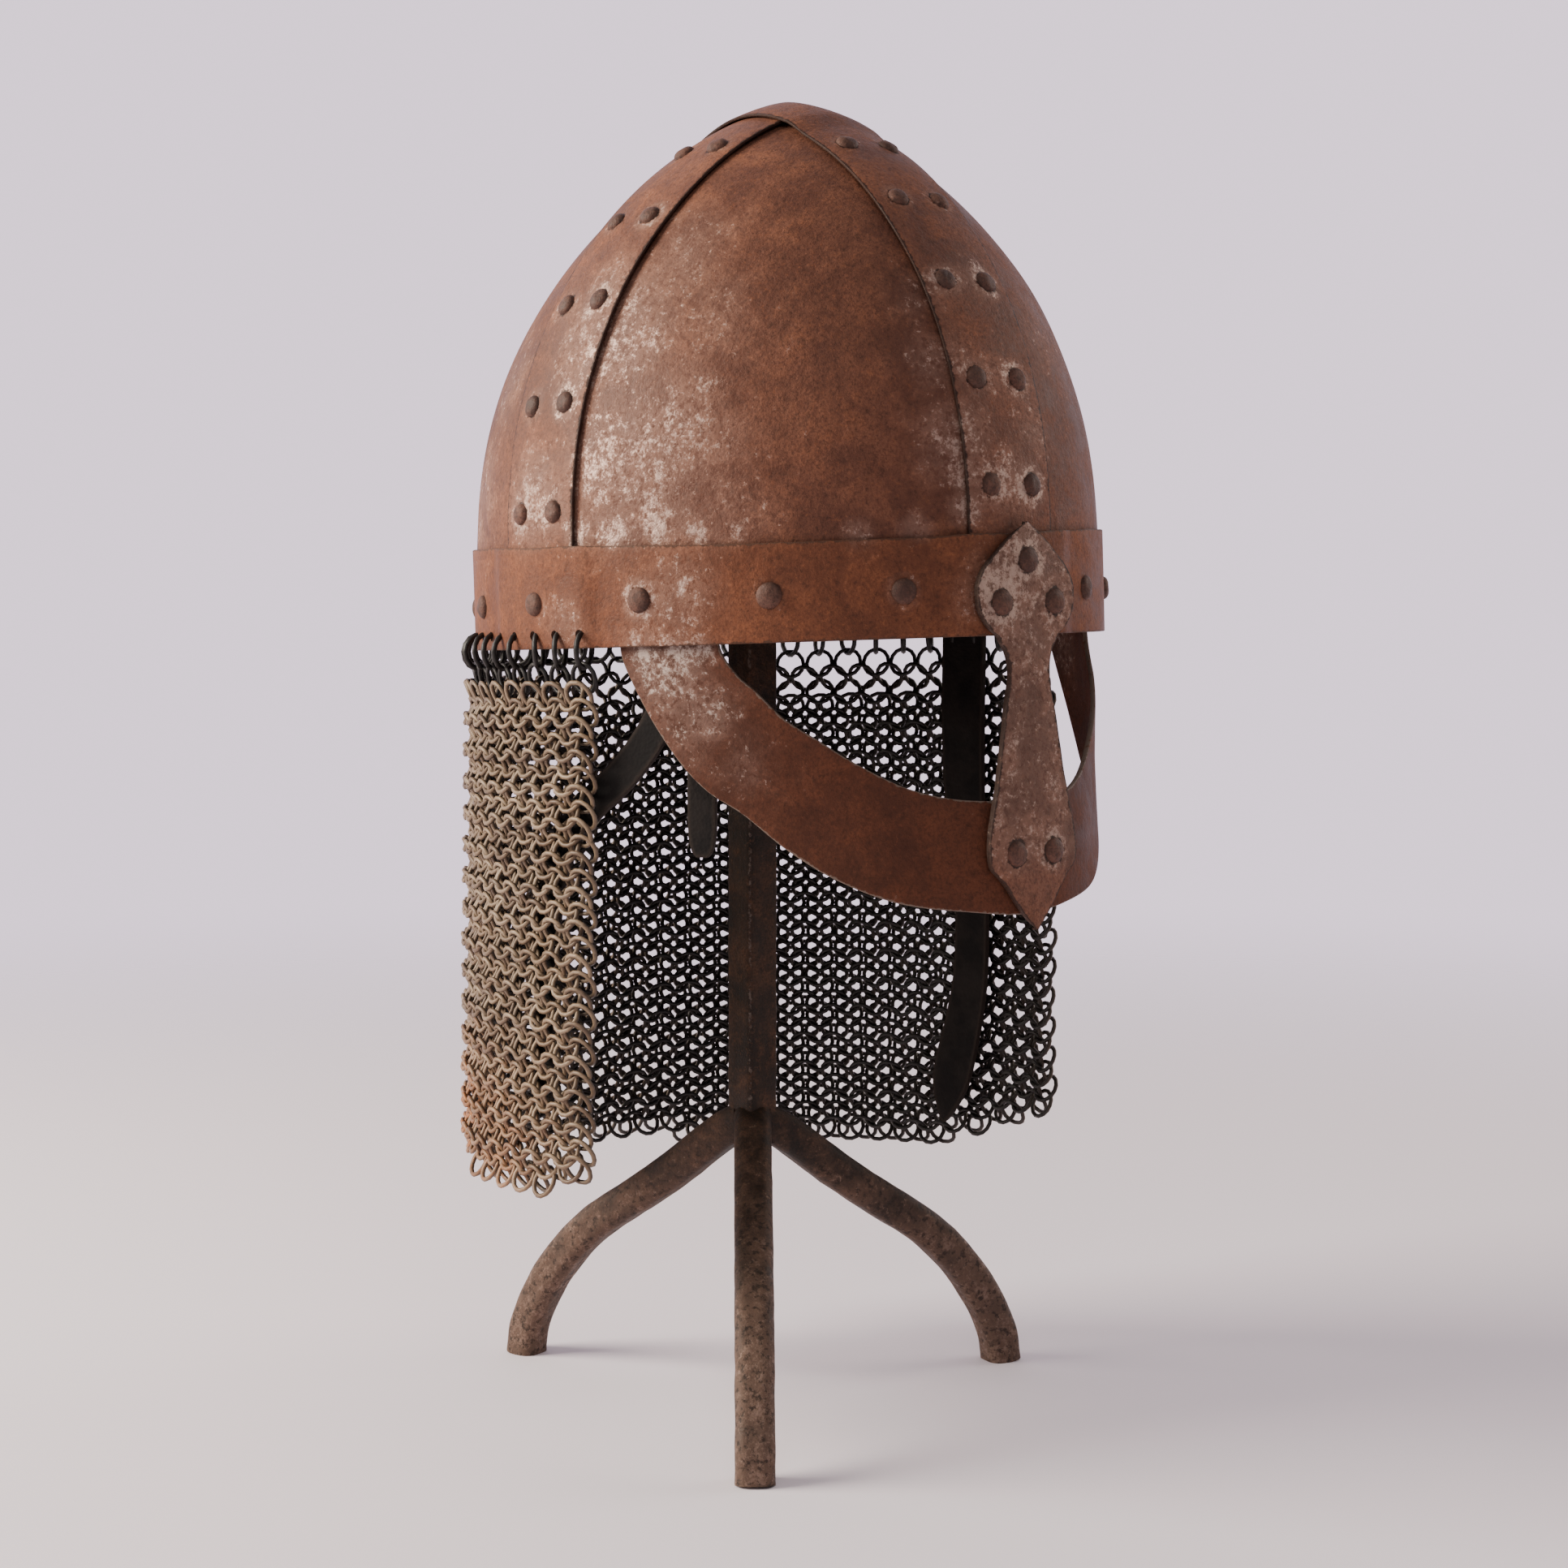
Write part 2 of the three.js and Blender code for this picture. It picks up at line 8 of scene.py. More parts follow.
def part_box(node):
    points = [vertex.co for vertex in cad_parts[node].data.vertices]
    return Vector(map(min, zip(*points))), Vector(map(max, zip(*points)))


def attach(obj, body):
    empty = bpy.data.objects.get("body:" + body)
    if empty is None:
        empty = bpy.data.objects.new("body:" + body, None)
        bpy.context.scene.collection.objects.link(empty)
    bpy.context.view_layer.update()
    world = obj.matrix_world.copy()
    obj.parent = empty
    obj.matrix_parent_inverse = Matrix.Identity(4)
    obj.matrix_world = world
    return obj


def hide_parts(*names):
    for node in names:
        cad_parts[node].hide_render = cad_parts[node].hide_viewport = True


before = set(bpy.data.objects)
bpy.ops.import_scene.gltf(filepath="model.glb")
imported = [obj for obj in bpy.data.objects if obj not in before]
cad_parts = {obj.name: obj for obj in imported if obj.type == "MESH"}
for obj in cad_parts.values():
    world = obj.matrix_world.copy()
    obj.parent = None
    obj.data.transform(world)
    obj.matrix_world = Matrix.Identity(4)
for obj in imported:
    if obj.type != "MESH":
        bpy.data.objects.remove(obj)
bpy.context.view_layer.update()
random.seed(11)
mm = 0.001

# Skull: the oval, the dome and how the helmet sits on its stand in degrees, as in the part
skull = {
    "length": 220 * mm,
    "width": 202 * mm,
    "bandHeight": 30.7 * mm,
    "domeHeight": 146 * mm,
    "fullness": 2.23,
    "roundness": 0.71,
    "apexForward": 8.4 * mm,
    "apexCurve": 1.7,
    "tipBack": 1.95,
    "tipRight": 0.72,
}
sheets = {
    "panelWall": 1.0 * mm,
    "stripWall": 1.0 * mm,
    "bandWall": 1.2 * mm,
    "bandTaller": 3.2 * mm,
    "guardWall": 1.8 * mm,
    "nasalWall": 2.0 * mm,
    "strapWall": 2.0 * mm,
    "sheetGap": 0.55 * mm,
    "seatGap": 0.3 * mm,
    "stripWidth": 35 * mm,
}
halfLength = skull["length"] / 2
halfWidth = skull["width"] / 2
bandHeight = skull["bandHeight"]
stripFace = sheets["sheetGap"] + sheets["stripWall"]
bandFace = stripFace + sheets["seatGap"] + sheets["bandWall"]
castHeight = 100 * mm  # the lines that look for the skull's surface start this high
castReach = 0.6  # and end beyond it, in metres


def rotation(axis, degrees):
    angle = math.radians(degrees)
    c, s = math.cos(angle), math.sin(angle)
    if axis == "x":
        return np.array([[1, 0, 0], [0, c, -s], [0, s, c]])
    return np.array([[c, 0, s], [0, 1, 0], [-s, 0, c]])


tip = rotation("y", -skull["tipRight"]) @ rotation("x", -skull["tipBack"])
bandLow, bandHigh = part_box("brow_band")
bandMiddle = (np.array(bandLow) + np.array(bandHigh)) / 2
brimCentre = bandMiddle - tip @ np.array([0, 0, bandHeight / 2])


def helmetToRow(points):
    return points @ tip.T + brimCentre


def rowToHelmet(points):
    return (points - brimCentre) @ tip


def uprightToRow(points):
    return points + brimCentre


def smooth(low, high, value):
    share = np.clip((value - low) / (high - low), 0, 1)
    return share * share * (3 - 2 * share)


def domeShare(z):
    return np.clip((z - bandHeight) / skull["domeHeight"], 0, 1)


def domeScale(z):
    return (1 - domeShare(z) ** skull["fullness"]) ** skull["roundness"]


def domeLean(z):
    return -skull["apexForward"] * domeShare(z) ** skull["apexCurve"]


def skullNormal(points):
    x, y, z = points.T
    share = domeShare(z)
    power = 2 * skull["roundness"]
    across = 2 * x / halfWidth ** 2
    along = 2 * (y - domeLean(z)) / halfLength ** 2
    full, curve = skull["fullness"], skull["apexCurve"]
    steep = np.maximum(1 - share ** full, 1e-6) ** (power - 1)
    narrowing = full * share ** (full - 1) / skull["domeHeight"]
    leaning = skull["apexForward"] * curve * share ** (curve - 1) / skull["domeHeight"]
    up = power * steep * narrowing + along * leaning
    normal = np.stack([across, along, up], 1)
    return normal / np.linalg.norm(normal, axis=1, keepdims=True)


# A point at an angle from the face, turning to the wearer's right, and at a height
def onSkull(angle, z, offset=0.0):
    angle, z = np.broadcast_arrays(np.radians(angle), z)
    scale = domeScale(z)
    x = -halfWidth * scale * np.sin(angle)
    y = -halfLength * scale * np.cos(angle) + domeLean(z)
    points = np.stack([x, y, z], 1)
    return points + skullNormal(points) * np.reshape(offset, (-1, 1))


# The same on the wall carried straight on above and below the band
def onWall(angle, z, offset=0.0):
    z = np.asarray(z, float)
    points = onSkull(angle, np.minimum(z, bandHeight), offset)
    points[:, 2] = z
    return points


# Where lines from inside the skull meet its surface, by halving
def cast(start, direction):
    near = np.zeros(len(start))
    far = np.full(len(start), castReach)
    top = bandHeight + skull["domeHeight"]
    for step in range(40):
        middle = (near + far) / 2
        point = start + direction * middle[:, None]
        oval = (point[:, 0] / halfWidth) ** 2 + (point[:, 1] / halfLength) ** 2
        inside = (point[:, 2] < top) & (oval < domeScale(point[:, 2]) ** 2)
        near = np.where(inside, middle, near)
        far = np.where(inside, far, middle)
    point = start + direction * near[:, None]
    point[:, 1] += domeLean(point[:, 2])
    return point


def bumps(points, size, depth, seed=0.0):
    if depth == 0:
        return np.zeros(len(points))
    shift = Vector((seed, seed * 0.7, -seed))
    return np.array([noise.noise(Vector(p) / size + shift) for p in points]) * depth


# Camera: its place from the middle of the brim, and its angles and lens, solved from the photograph
view = {
    "place": (-636.3 * mm, -761.3 * mm, 23.3 * mm),
    "azimuth": 39.82,
    "lookDown": 4.16,
    "lens": 66.93,
    "sensor": 36,
    "sees": 50,
}


def makeCamera():
    bpy.ops.object.camera_add(location=Vector(brimCentre) + Vector(view["place"]))
    camera = bpy.context.object
    camera.rotation_euler = (math.radians(90 - view["lookDown"]), 0, math.radians(-view["azimuth"]))
    camera.data.lens = view["lens"]
    camera.data.sensor_width = view["sensor"]
    camera.data.clip_end = view["sees"]
    bpy.context.scene.camera = camera


makeCamera()
print("camera placed")


# Shader groups that several materials share
def newGroup(name, inputs, outputs):
    group = bpy.data.node_groups.new(name, "ShaderNodeTree")
    for label, kind, value in inputs:
        socket = group.interface.new_socket(label, in_out="INPUT", socket_type=kind)
        socket.default_value = value
    for label, kind in outputs:
        group.interface.new_socket(label, in_out="OUTPUT", socket_type=kind)
    return group, group.nodes.new("NodeGroupInput"), group.nodes.new("NodeGroupOutput")


class Tree:
    def __init__(self, tree):
        self.tree = tree

    def add(self, kind, links=None, **settings):
        node = self.tree.nodes.new(kind)
        for key, value in settings.items():
            setattr(node, key, value)
        for key, value in (links or {}).items():
            self.put(node.inputs[key], value)
        return node

    def put(self, socket, value):
        if isinstance(value, bpy.types.NodeSocket):
            self.tree.links.new(value, socket)
        else:
            socket.default_value = value

    def noise(self, vector, scale, detail=4.0, roughness=0.6, distortion=0.0):
        node = self.add("ShaderNodeTexNoise", {
            "Vector": vector, "Scale": scale, "Detail": detail, "Roughness": roughness,
            "Distortion": distortion})
        return node.outputs["Fac"]

    def ramp(self, value, low, high):
        node = self.add("ShaderNodeMapRange", {"Value": value, "From Min": low, "From Max": high})
        node.interpolation_type = "SMOOTHSTEP"
        return node.outputs["Result"]

    def maths(self, operation, first, second=0.0):
        node = self.add("ShaderNodeMath", {0: first, 1: second}, operation=operation)
        return node.outputs[0]

    def times(self, first, second):
        return self.maths("MULTIPLY", first, second)

    def inverse(self, value):
        return self.maths("SUBTRACT", 1.0, value)

    def mix(self, share, first, second):
        node = self.add("ShaderNodeMix", {}, data_type="RGBA")
        self.put(node.inputs[0], share)
        self.put(node.inputs[6], first)
        self.put(node.inputs[7], second)
        return node.outputs[2]

    def blendValue(self, share, first, second):
        node = self.add("ShaderNodeMix", {}, data_type="FLOAT")
        self.put(node.inputs[0], share)
        self.put(node.inputs[2], first)
        self.put(node.inputs[3], second)
        return node.outputs[0]


# Rust on iron: how fine each pattern is, how strongly it shows, and the gloss of rusty and bare iron
rustLook = {
    "broad": 22,
    "cloud": 75,
    "mottle": 210,
    "speck": 430,
    "fine": 620,
    "grain": 1150,
    "mottleShare": 0.5,
    "grainShare": 0.6,
    "freshShare": 0.45,
    "pitShare": 0.5,
    "pitColour": (0.035, 0.016, 0.01, 1),
    "hazeSteel": 0.42,
    "spotFrom": 0.62,
    "spotGain": 0.15,
    "spotCrisp": 8.0,
    "fleckShare": 0.75,
    "edgeShare": 0.85,
    "edgeRagged": 3.0,
    "metal": (0.05, 0.4),
    "rough": (0.55, 0.75),
    "bareRough": 0.46,
    "bumpDepth": 0.9 * mm,
}


def makeIronSkin():
    group, start, end = newGroup("ironSkin", [
        ("Place", "NodeSocketVector", (0, 0, 0)),
        ("Rim", "NodeSocketFloat", 1.0),
        ("Bare", "NodeSocketFloat", 0.0),
        ("Rust", "NodeSocketColor", (0.2, 0.08, 0.04, 1)),
        ("Dark", "NodeSocketColor", (0.1, 0.05, 0.03, 1)),
        ("Fresh", "NodeSocketColor", (0.4, 0.13, 0.04, 1)),
        ("Steel", "NodeSocketColor", (0.4, 0.33, 0.3, 1)),
        ("Edge", "NodeSocketColor", (0.02, 0.013, 0.01, 1)),
        ("Fresh Amount", "NodeSocketFloat", 0.3),
        ("Wear And Shade Width", "NodeSocketFloat", 1.5),
        ("Haze", "NodeSocketFloat", 0.4),
    ], [
        ("Color", "NodeSocketColor"),
        ("Roughness", "NodeSocketFloat"),
        ("Metallic", "NodeSocketFloat"),
        ("Height", "NodeSocketFloat"),
    ])
    tree = Tree(group)
    given = start.outputs
    place = given["Place"]
    broad = tree.noise(place, rustLook["broad"], 3, 0.55)
    cloud = tree.noise(place, rustLook["cloud"], 5, 0.65, 0.4)
    mottle = tree.noise(place, rustLook["mottle"], 6, 0.75)
    speck = tree.noise(place, rustLook["speck"], 4, 0.7)
    fine = tree.noise(place, rustLook["fine"], 5, 0.8)
    grain = tree.noise(place, rustLook["grain"], 2, 0.6)

    # Rust from dark to light, with fresh places, mottling, grain and pits
    rust = tree.mix(tree.ramp(tree.blendValue(0.55, broad, cloud), 0.38, 0.6), given["Dark"], given["Rust"])
    fresh = tree.times(tree.ramp(cloud, 0.5, 0.68), given["Fresh Amount"])
    rust = tree.mix(tree.times(fresh, tree.ramp(speck, 0.38, 0.58)), rust, given["Fresh"])
    pitted = tree.inverse(tree.ramp(fine, 0.34, 0.5))
    for mask, share, colour in (
            (tree.ramp(mottle, 0.5, 0.6), "mottleShare", given["Dark"]),
            (tree.ramp(grain, 0.44, 0.66), "grainShare", given["Dark"]),
            (tree.ramp(fine, 0.54, 0.68), "freshShare", given["Fresh"]),
            (pitted, "pitShare", rustLook["pitColour"])):
        rust = tree.mix(tree.times(mask, rustLook[share]), rust, colour)

    # Bare metal: a haze of it, clumps of bright spots, and dark flecks that stay in them
    bare = tree.maths("ADD", given["Bare"], tree.times(tree.maths("SUBTRACT", cloud, 0.5), 1.3))
    haze = tree.mix(rustLook["hazeSteel"], given["Rust"], given["Steel"])
    rust = tree.mix(tree.times(tree.ramp(bare, 0.2, 1.0), given["Haze"]), rust, haze)
    spotted = tree.blendValue(0.5, fine, tree.inverse(mottle))
    threshold = tree.maths("SUBTRACT", rustLook["spotFrom"], tree.times(bare, rustLook["spotGain"]))
    spots = tree.times(tree.maths("SUBTRACT", spotted, threshold), rustLook["spotCrisp"])
    bareMask = tree.times(tree.ramp(spots, 0.0, 1.0), tree.ramp(bare, 0.05, 0.45))
    worn = tree.mix(bareMask, rust, given["Steel"])
    flecks = tree.times(tree.inverse(tree.ramp(speck, 0.36, 0.5)), rustLook["fleckShare"])
    worn = tree.mix(tree.times(flecks, tree.ramp(bare, 0.1, 0.6)), worn, given["Dark"])

    # Ragged edges, gloss and height; near the rim the edge colour is a painted shadow line on the strips and
    # nasal, and worn iron on the guard and stand
    ragged = tree.times(tree.maths("SUBTRACT", speck, 0.5), rustLook["edgeRagged"])
    edge = tree.maths("DIVIDE", tree.maths("ADD", given["Rim"], ragged), given["Wear And Shade Width"])
    edgeMask = tree.times(tree.inverse(tree.ramp(edge, 0.4, 1.1)), rustLook["edgeShare"])
    tree.put(end.inputs["Color"], tree.mix(edgeMask, worn, given["Edge"]))
    tree.put(end.inputs["Metallic"], tree.blendValue(bareMask, *rustLook["metal"]))
    rough = tree.blendValue(tree.ramp(cloud, 0.3, 0.7), *rustLook["rough"])
    tree.put(end.inputs["Roughness"], tree.blendValue(bareMask, rough, rustLook["bareRough"]))
    pits = tree.maths("ADD", tree.times(speck, 0.6), tree.times(cloud, 1.2))
    tree.put(end.inputs["Height"], tree.maths("ADD", pits, tree.times(grain, 0.25)))
    return group


ironSkin = makeIronSkin()


def newMaterial(name):
    material = bpy.data.materials.new(name)
    material.use_nodes = True
    material.node_tree.nodes.clear()
    tree = Tree(material.node_tree)
    shader = tree.add("ShaderNodeBsdfPrincipled")
    tree.add("ShaderNodeOutputMaterial", {"Surface": shader.outputs[0]})
    return material, tree, shader


def attribute(tree, name):
    return tree.add("ShaderNodeAttribute", attribute_name=name).outputs["Fac"]


# One kind of iron, from its colours, wear and gloss
def makeIron(name, look):
    material, tree, shader = newMaterial(name)
    skin = tree.add("ShaderNodeGroup", node_tree=ironSkin)
    tree.put(skin.inputs["Place"], tree.add("ShaderNodeTexCoord").outputs["Object"])
    tree.put(skin.inputs["Rim"], attribute(tree, "rim"))
    tree.put(skin.inputs["Bare"], tree.maths("ADD", attribute(tree, "bare"), look["bare"]))
    for key in ("rust", "dark", "fresh", "steel", "edge"):
        skin.inputs[key.title()].default_value = (*look[key], 1)
    skin.inputs["Fresh Amount"].default_value = look["freshAmount"]
    skin.inputs["Wear And Shade Width"].default_value = look["wearAndShadeWidth"]
    skin.inputs["Haze"].default_value = look["haze"]
    bump = tree.add("ShaderNodeBump", {
        "Height": skin.outputs["Height"], "Strength": look["bump"], "Distance": rustLook["bumpDepth"]})
    tree.put(shader.inputs["Base Color"], skin.outputs["Color"])
    tree.put(shader.inputs["Roughness"], skin.outputs["Roughness"])
    tree.put(shader.inputs["Metallic"], skin.outputs["Metallic"])
    tree.put(shader.inputs["Normal"], bump.outputs[0])
    shader.inputs["Specular IOR Level"].default_value = look["shine"]
    return material


plateIron = makeIron("plateIron", {
    "rust": (0.2, 0.08, 0.047), "dark": (0.105, 0.041, 0.026), "fresh": (0.27, 0.094, 0.04),
    "steel": (0.47, 0.325, 0.265), "edge": (0.1, 0.05, 0.03), "bare": 0.06,
    "freshAmount": 0.35, "wearAndShadeWidth": 0.1, "haze": 0.4, "bump": 0.6, "shine": 0.2})
# stripIron's edge colour is painted shadow: a near-black line along the strips' rims, where they stand over
# the panels
stripIron = makeIron("stripIron", {
    "rust": (0.225, 0.088, 0.05), "dark": (0.115, 0.045, 0.028), "fresh": (0.29, 0.096, 0.038),
    "steel": (0.48, 0.335, 0.27), "edge": (0.018, 0.01, 0.008), "bare": 0.12,
    "freshAmount": 0.4, "wearAndShadeWidth": 0.9, "haze": 0.4, "bump": 0.6, "shine": 0.22})
bandIron = makeIron("bandIron", {
    "rust": (0.195, 0.07, 0.034), "dark": (0.115, 0.04, 0.021), "fresh": (0.29, 0.1, 0.042),
    "steel": (0.47, 0.33, 0.27), "edge": (0.07, 0.035, 0.022), "bare": 0.05,
    "freshAmount": 0.35, "wearAndShadeWidth": 0.6, "haze": 0.4, "bump": 0.5, "shine": 0.2})
guardIron = makeIron("guardIron", {
    "rust": (0.118, 0.041, 0.022), "dark": (0.068, 0.025, 0.015), "fresh": (0.16, 0.055, 0.028),
    "steel": (0.46, 0.36, 0.31), "edge": (0.16, 0.12, 0.095), "bare": 0.0,
    "freshAmount": 0.3, "wearAndShadeWidth": 0.5, "haze": 0.4, "bump": 0.4, "shine": 0.15})
# nasalIron's edge colour is painted shadow: a near-black line round the nasal's rim, where it stands off the
# band
nasalIron = makeIron("nasalIron", {
    "rust": (0.2, 0.086, 0.053), "dark": (0.088, 0.039, 0.026), "fresh": (0.25, 0.095, 0.05),
    "steel": (0.42, 0.295, 0.235), "edge": (0.03, 0.018, 0.014), "bare": 0.1,
    "freshAmount": 0.3, "wearAndShadeWidth": 0.7, "haze": 0.4, "bump": 0.7, "shine": 0.25})
rivetIron = makeIron("rivetIron", {
    "rust": (0.13, 0.06, 0.042), "dark": (0.055, 0.028, 0.021), "fresh": (0.18, 0.075, 0.045),
    "steel": (0.32, 0.22, 0.18), "edge": (0.04, 0.022, 0.017), "bare": 0.0,
    "freshAmount": 0.2, "wearAndShadeWidth": 0.6, "haze": 0.4, "bump": 0.6, "shine": 0.3})
standIron = makeIron("standIron", {
    "rust": (0.062, 0.032, 0.019), "dark": (0.011, 0.008, 0.006), "fresh": (0.13, 0.055, 0.027),
    "steel": (0.2, 0.13, 0.098), "edge": (0.12, 0.09, 0.075), "bare": -0.2,
    "freshAmount": 0.5, "wearAndShadeWidth": 0.7, "haze": 0.85, "bump": 0.6, "shine": 0.25})


mailLook = {
    "low": (0.12, 0.075, 0.046, 1),
    "high": (0.29, 0.205, 0.13, 1),
    "warm": (0.2, 0.13, 0.07, 1),
    "warmShare": 0.6,
    "rust": (0.46, 0.15, 0.03, 1),
    "dark": (0.08, 0.048, 0.03, 1),
    "darkShare": 0.4,
    # inside: painted shade, the near-black colour the rings take where their outer share is low
    "inside": (0.008, 0.006, 0.005, 1),
    "cloud": 60,
    "fine": 700,
    "rough": (0.42, 0.6),
    "metal": 0.15,
    "bump": 0.25,
    "bumpDepth": 0.3 * mm,
}


def makeMailIron():
    material, tree, shader = newMaterial("mailIron")
    place = tree.add("ShaderNodeTexCoord").outputs["Object"]
    cloud = tree.noise(place, mailLook["cloud"], 3, 0.6)
    fine = tree.noise(place, mailLook["fine"], 3, 0.6)
    rusty = tree.times(attribute(tree, "rusty"), tree.ramp(fine, 0.3, 0.6))
    base = tree.mix(tree.ramp(attribute(tree, "tone"), 0.0, 1.0), mailLook["low"], mailLook["high"])
    base = tree.mix(tree.times(tree.ramp(cloud, 0.42, 0.66), mailLook["warmShare"]), base, mailLook["warm"])
    base = tree.mix(rusty, base, mailLook["rust"])
    base = tree.mix(tree.times(tree.ramp(fine, 0.52, 0.7), mailLook["darkShare"]), base, mailLook["dark"])
    # painted shade: the lit colour where outer is high, the near-black inside colour where it is low
    tree.put(shader.inputs["Base Color"], tree.mix(attribute(tree, "outer"), mailLook["inside"], base))
    tree.put(shader.inputs["Roughness"], tree.blendValue(fine, *mailLook["rough"]))
    shader.inputs["Metallic"].default_value = mailLook["metal"]
    bump = tree.add("ShaderNodeBump", {
        "Height": fine, "Strength": mailLook["bump"], "Distance": mailLook["bumpDepth"]})
    tree.put(shader.inputs["Normal"], bump.outputs[0])
    return material


leatherLook = {
    "grain": 900.0,
    "cloud": 90,
    "dark": (0.006, 0.005, 0.005, 1),
    "light": (0.014, 0.011, 0.01, 1),
    "edge": (0.022, 0.016, 0.013, 1),
    "rough": (0.7, 0.85),
    "shine": 0.15,
    "bump": 0.3,
    "bumpDepth": 0.4 * mm,
}


def makeLeather():
    material, tree, shader = newMaterial("strapLeather")
    place = tree.add("ShaderNodeTexCoord").outputs["Object"]
    cells = tree.add("ShaderNodeTexVoronoi", {"Vector": place, "Scale": leatherLook["grain"]})
    cloud = tree.noise(place, leatherLook["cloud"], 3, 0.6)
    body = tree.mix(tree.ramp(cloud, 0.35, 0.65), leatherLook["dark"], leatherLook["light"])
    rim = tree.ramp(attribute(tree, "rim"), 0.2, 1.6)
    tree.put(shader.inputs["Base Color"], tree.mix(rim, leatherLook["edge"], body))
    tree.put(shader.inputs["Roughness"], tree.blendValue(cloud, *leatherLook["rough"]))
    shader.inputs["Specular IOR Level"].default_value = leatherLook["shine"]
    bump = tree.add("ShaderNodeBump", {
        "Height": cells.outputs["Distance"], "Strength": leatherLook["bump"],
        "Distance": leatherLook["bumpDepth"]})
    tree.put(shader.inputs["Normal"], bump.outputs[0])
    return material


mailIron = makeMailIron()
strapLeather = makeLeather()
print("materials made")


# Mesh helpers
def deselectAll():
    bpy.ops.object.select_all(action="DESELECT")


def choose(piece):
    deselectAll()
    piece.select_set(True)
    bpy.context.view_layer.objects.active = piece


def inEdit(piece, work):
    choose(piece)
    bpy.ops.object.mode_set(mode="EDIT")
    bpy.ops.mesh.select_all(action="SELECT")
    work()
    bpy.ops.object.mode_set(mode="OBJECT")


def applyModifier(piece, kind, **settings):
    choose(piece)
    modifier = piece.modifiers.new(kind.title(), kind)
    for key, value in settings.items():
        setattr(modifier, key, value)
    bpy.ops.object.modifier_apply(modifier=modifier.name)


def readPoints(piece):
    flat = np.empty(len(piece.data.vertices) * 3)
    piece.data.vertices.foreach_get("co", flat)
    return flat.reshape(-1, 3)


def writePoints(piece, points):
    piece.data.vertices.foreach_set("co", np.ascontiguousarray(points, dtype=float).ravel())
    piece.data.update()


def newPiece(name, points, faces):
    mesh = bpy.data.meshes.new(name)
    mesh.from_pydata(points.tolist(), [], faces)
    piece = bpy.data.objects.new(name, mesh)
    bpy.context.scene.collection.objects.link(piece)
    return piece


def smoothShading(piece, degrees):
    choose(piece)
    bpy.ops.object.shade_smooth_by_angle(angle=math.radians(degrees))


# The turn that brings upright to a direction
def turnTo(direction):
    return np.array(Vector((0, 0, 1)).rotation_difference(Vector(direction)).to_matrix())


def setAttribute(piece, name, values):
    data = piece.data.attributes.get(name) or piece.data.attributes.new(name, "FLOAT", "POINT")
    data.data.foreach_set("value", np.ascontiguousarray(values, dtype=float))


# A flat grid is laid onto a surface, then given its wall and a softened rim.
# worn picks the edges that get the edge colour: worn iron, and on the strips and nasal a painted shadow line
def laySheet(name, countU, countV, place, wall, closed=False, soften=0.3 * mm, worn="uv"):
    deselectAll()
    bpy.ops.mesh.primitive_grid_add(x_subdivisions=countU, y_subdivisions=countV, size=1)
    piece = bpy.context.object
    piece.name = piece.data.name = name
    flat = readPoints(piece)
    u = flat[:, 0] + 0.5
    v = flat[:, 1] + 0.5
    points = place(u, v)
    writePoints(piece, points)
    setAttribute(piece, "rim", rimDistance(u, v, points, countU, countV, closed, worn) / mm)
    if closed:
        inEdit(piece, lambda: bpy.ops.mesh.remove_doubles(threshold=1e-6))
    facesOut(piece)
    applyModifier(piece, "SOLIDIFY", thickness=wall, offset=-1, use_even_offset=False)
    if soften:
        applyModifier(piece, "BEVEL", width=soften, segments=2, limit_method="ANGLE",
                      angle_limit=math.radians(50))
    smoothShading(piece, 40)
    return piece


# Each point's way to the sheet's edges, up to one metre; the edge colour there is worn iron on some sheets
# and a painted shadow line on the strips and nasal
def rimDistance(u, v, points, countU, countV, closed, worn):
    i = np.rint(u * countU).astype(int)
    j = np.rint(v * countV).astype(int)
    grid = np.zeros((countU + 1, countV + 1, 3))
    grid[i, j] = points
    alongU = np.zeros((countU + 1, countV + 1))
    alongU[1:] = np.cumsum(np.linalg.norm(np.diff(grid, axis=0), axis=2), axis=0)
    alongV = np.zeros((countU + 1, countV + 1))
    alongV[:, 1:] = np.cumsum(np.linalg.norm(np.diff(grid, axis=1), axis=2), axis=1)
    rim = np.full((countU + 1, countV + 1), 1.0)
    if "u" in worn and not closed:
        rim = np.minimum(rim, np.minimum(alongU, alongU[-1:] - alongU))
    if "v" in worn:
        rim = np.minimum(rim, np.minimum(alongV, alongV[:, -1:] - alongV))
    return rim[i, j]


# The faces are turned to point away from a place inside the skull.
def facesOut(piece):
    mesh = piece.data
    inside = brimCentre + np.array([0, 0, 20 * mm])
    total = 0.0
    for face in list(mesh.polygons)[::7]:
        away = np.array(face.center) - inside
        away[2] = max(away[2], 0)
        total += float(np.dot(away, face.normal))
    if total < 0:
        inEdit(piece, lambda: bpy.ops.mesh.flip_normals())


# What every piece ends with: its material, its body and the nodes that it replaces
def finishPiece(piece, material, slotName, *nodes):
    piece.data.materials.clear()
    piece.data.materials.append(material)
    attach(piece, "root")
    if nodes:
        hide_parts(*nodes)
    return piece


def joinPieces(first, others):
    deselectAll()
    for other in others:
        other.select_set(True)
    first.select_set(True)
    bpy.context.view_layer.objects.active = first
    bpy.ops.object.join()
    return first


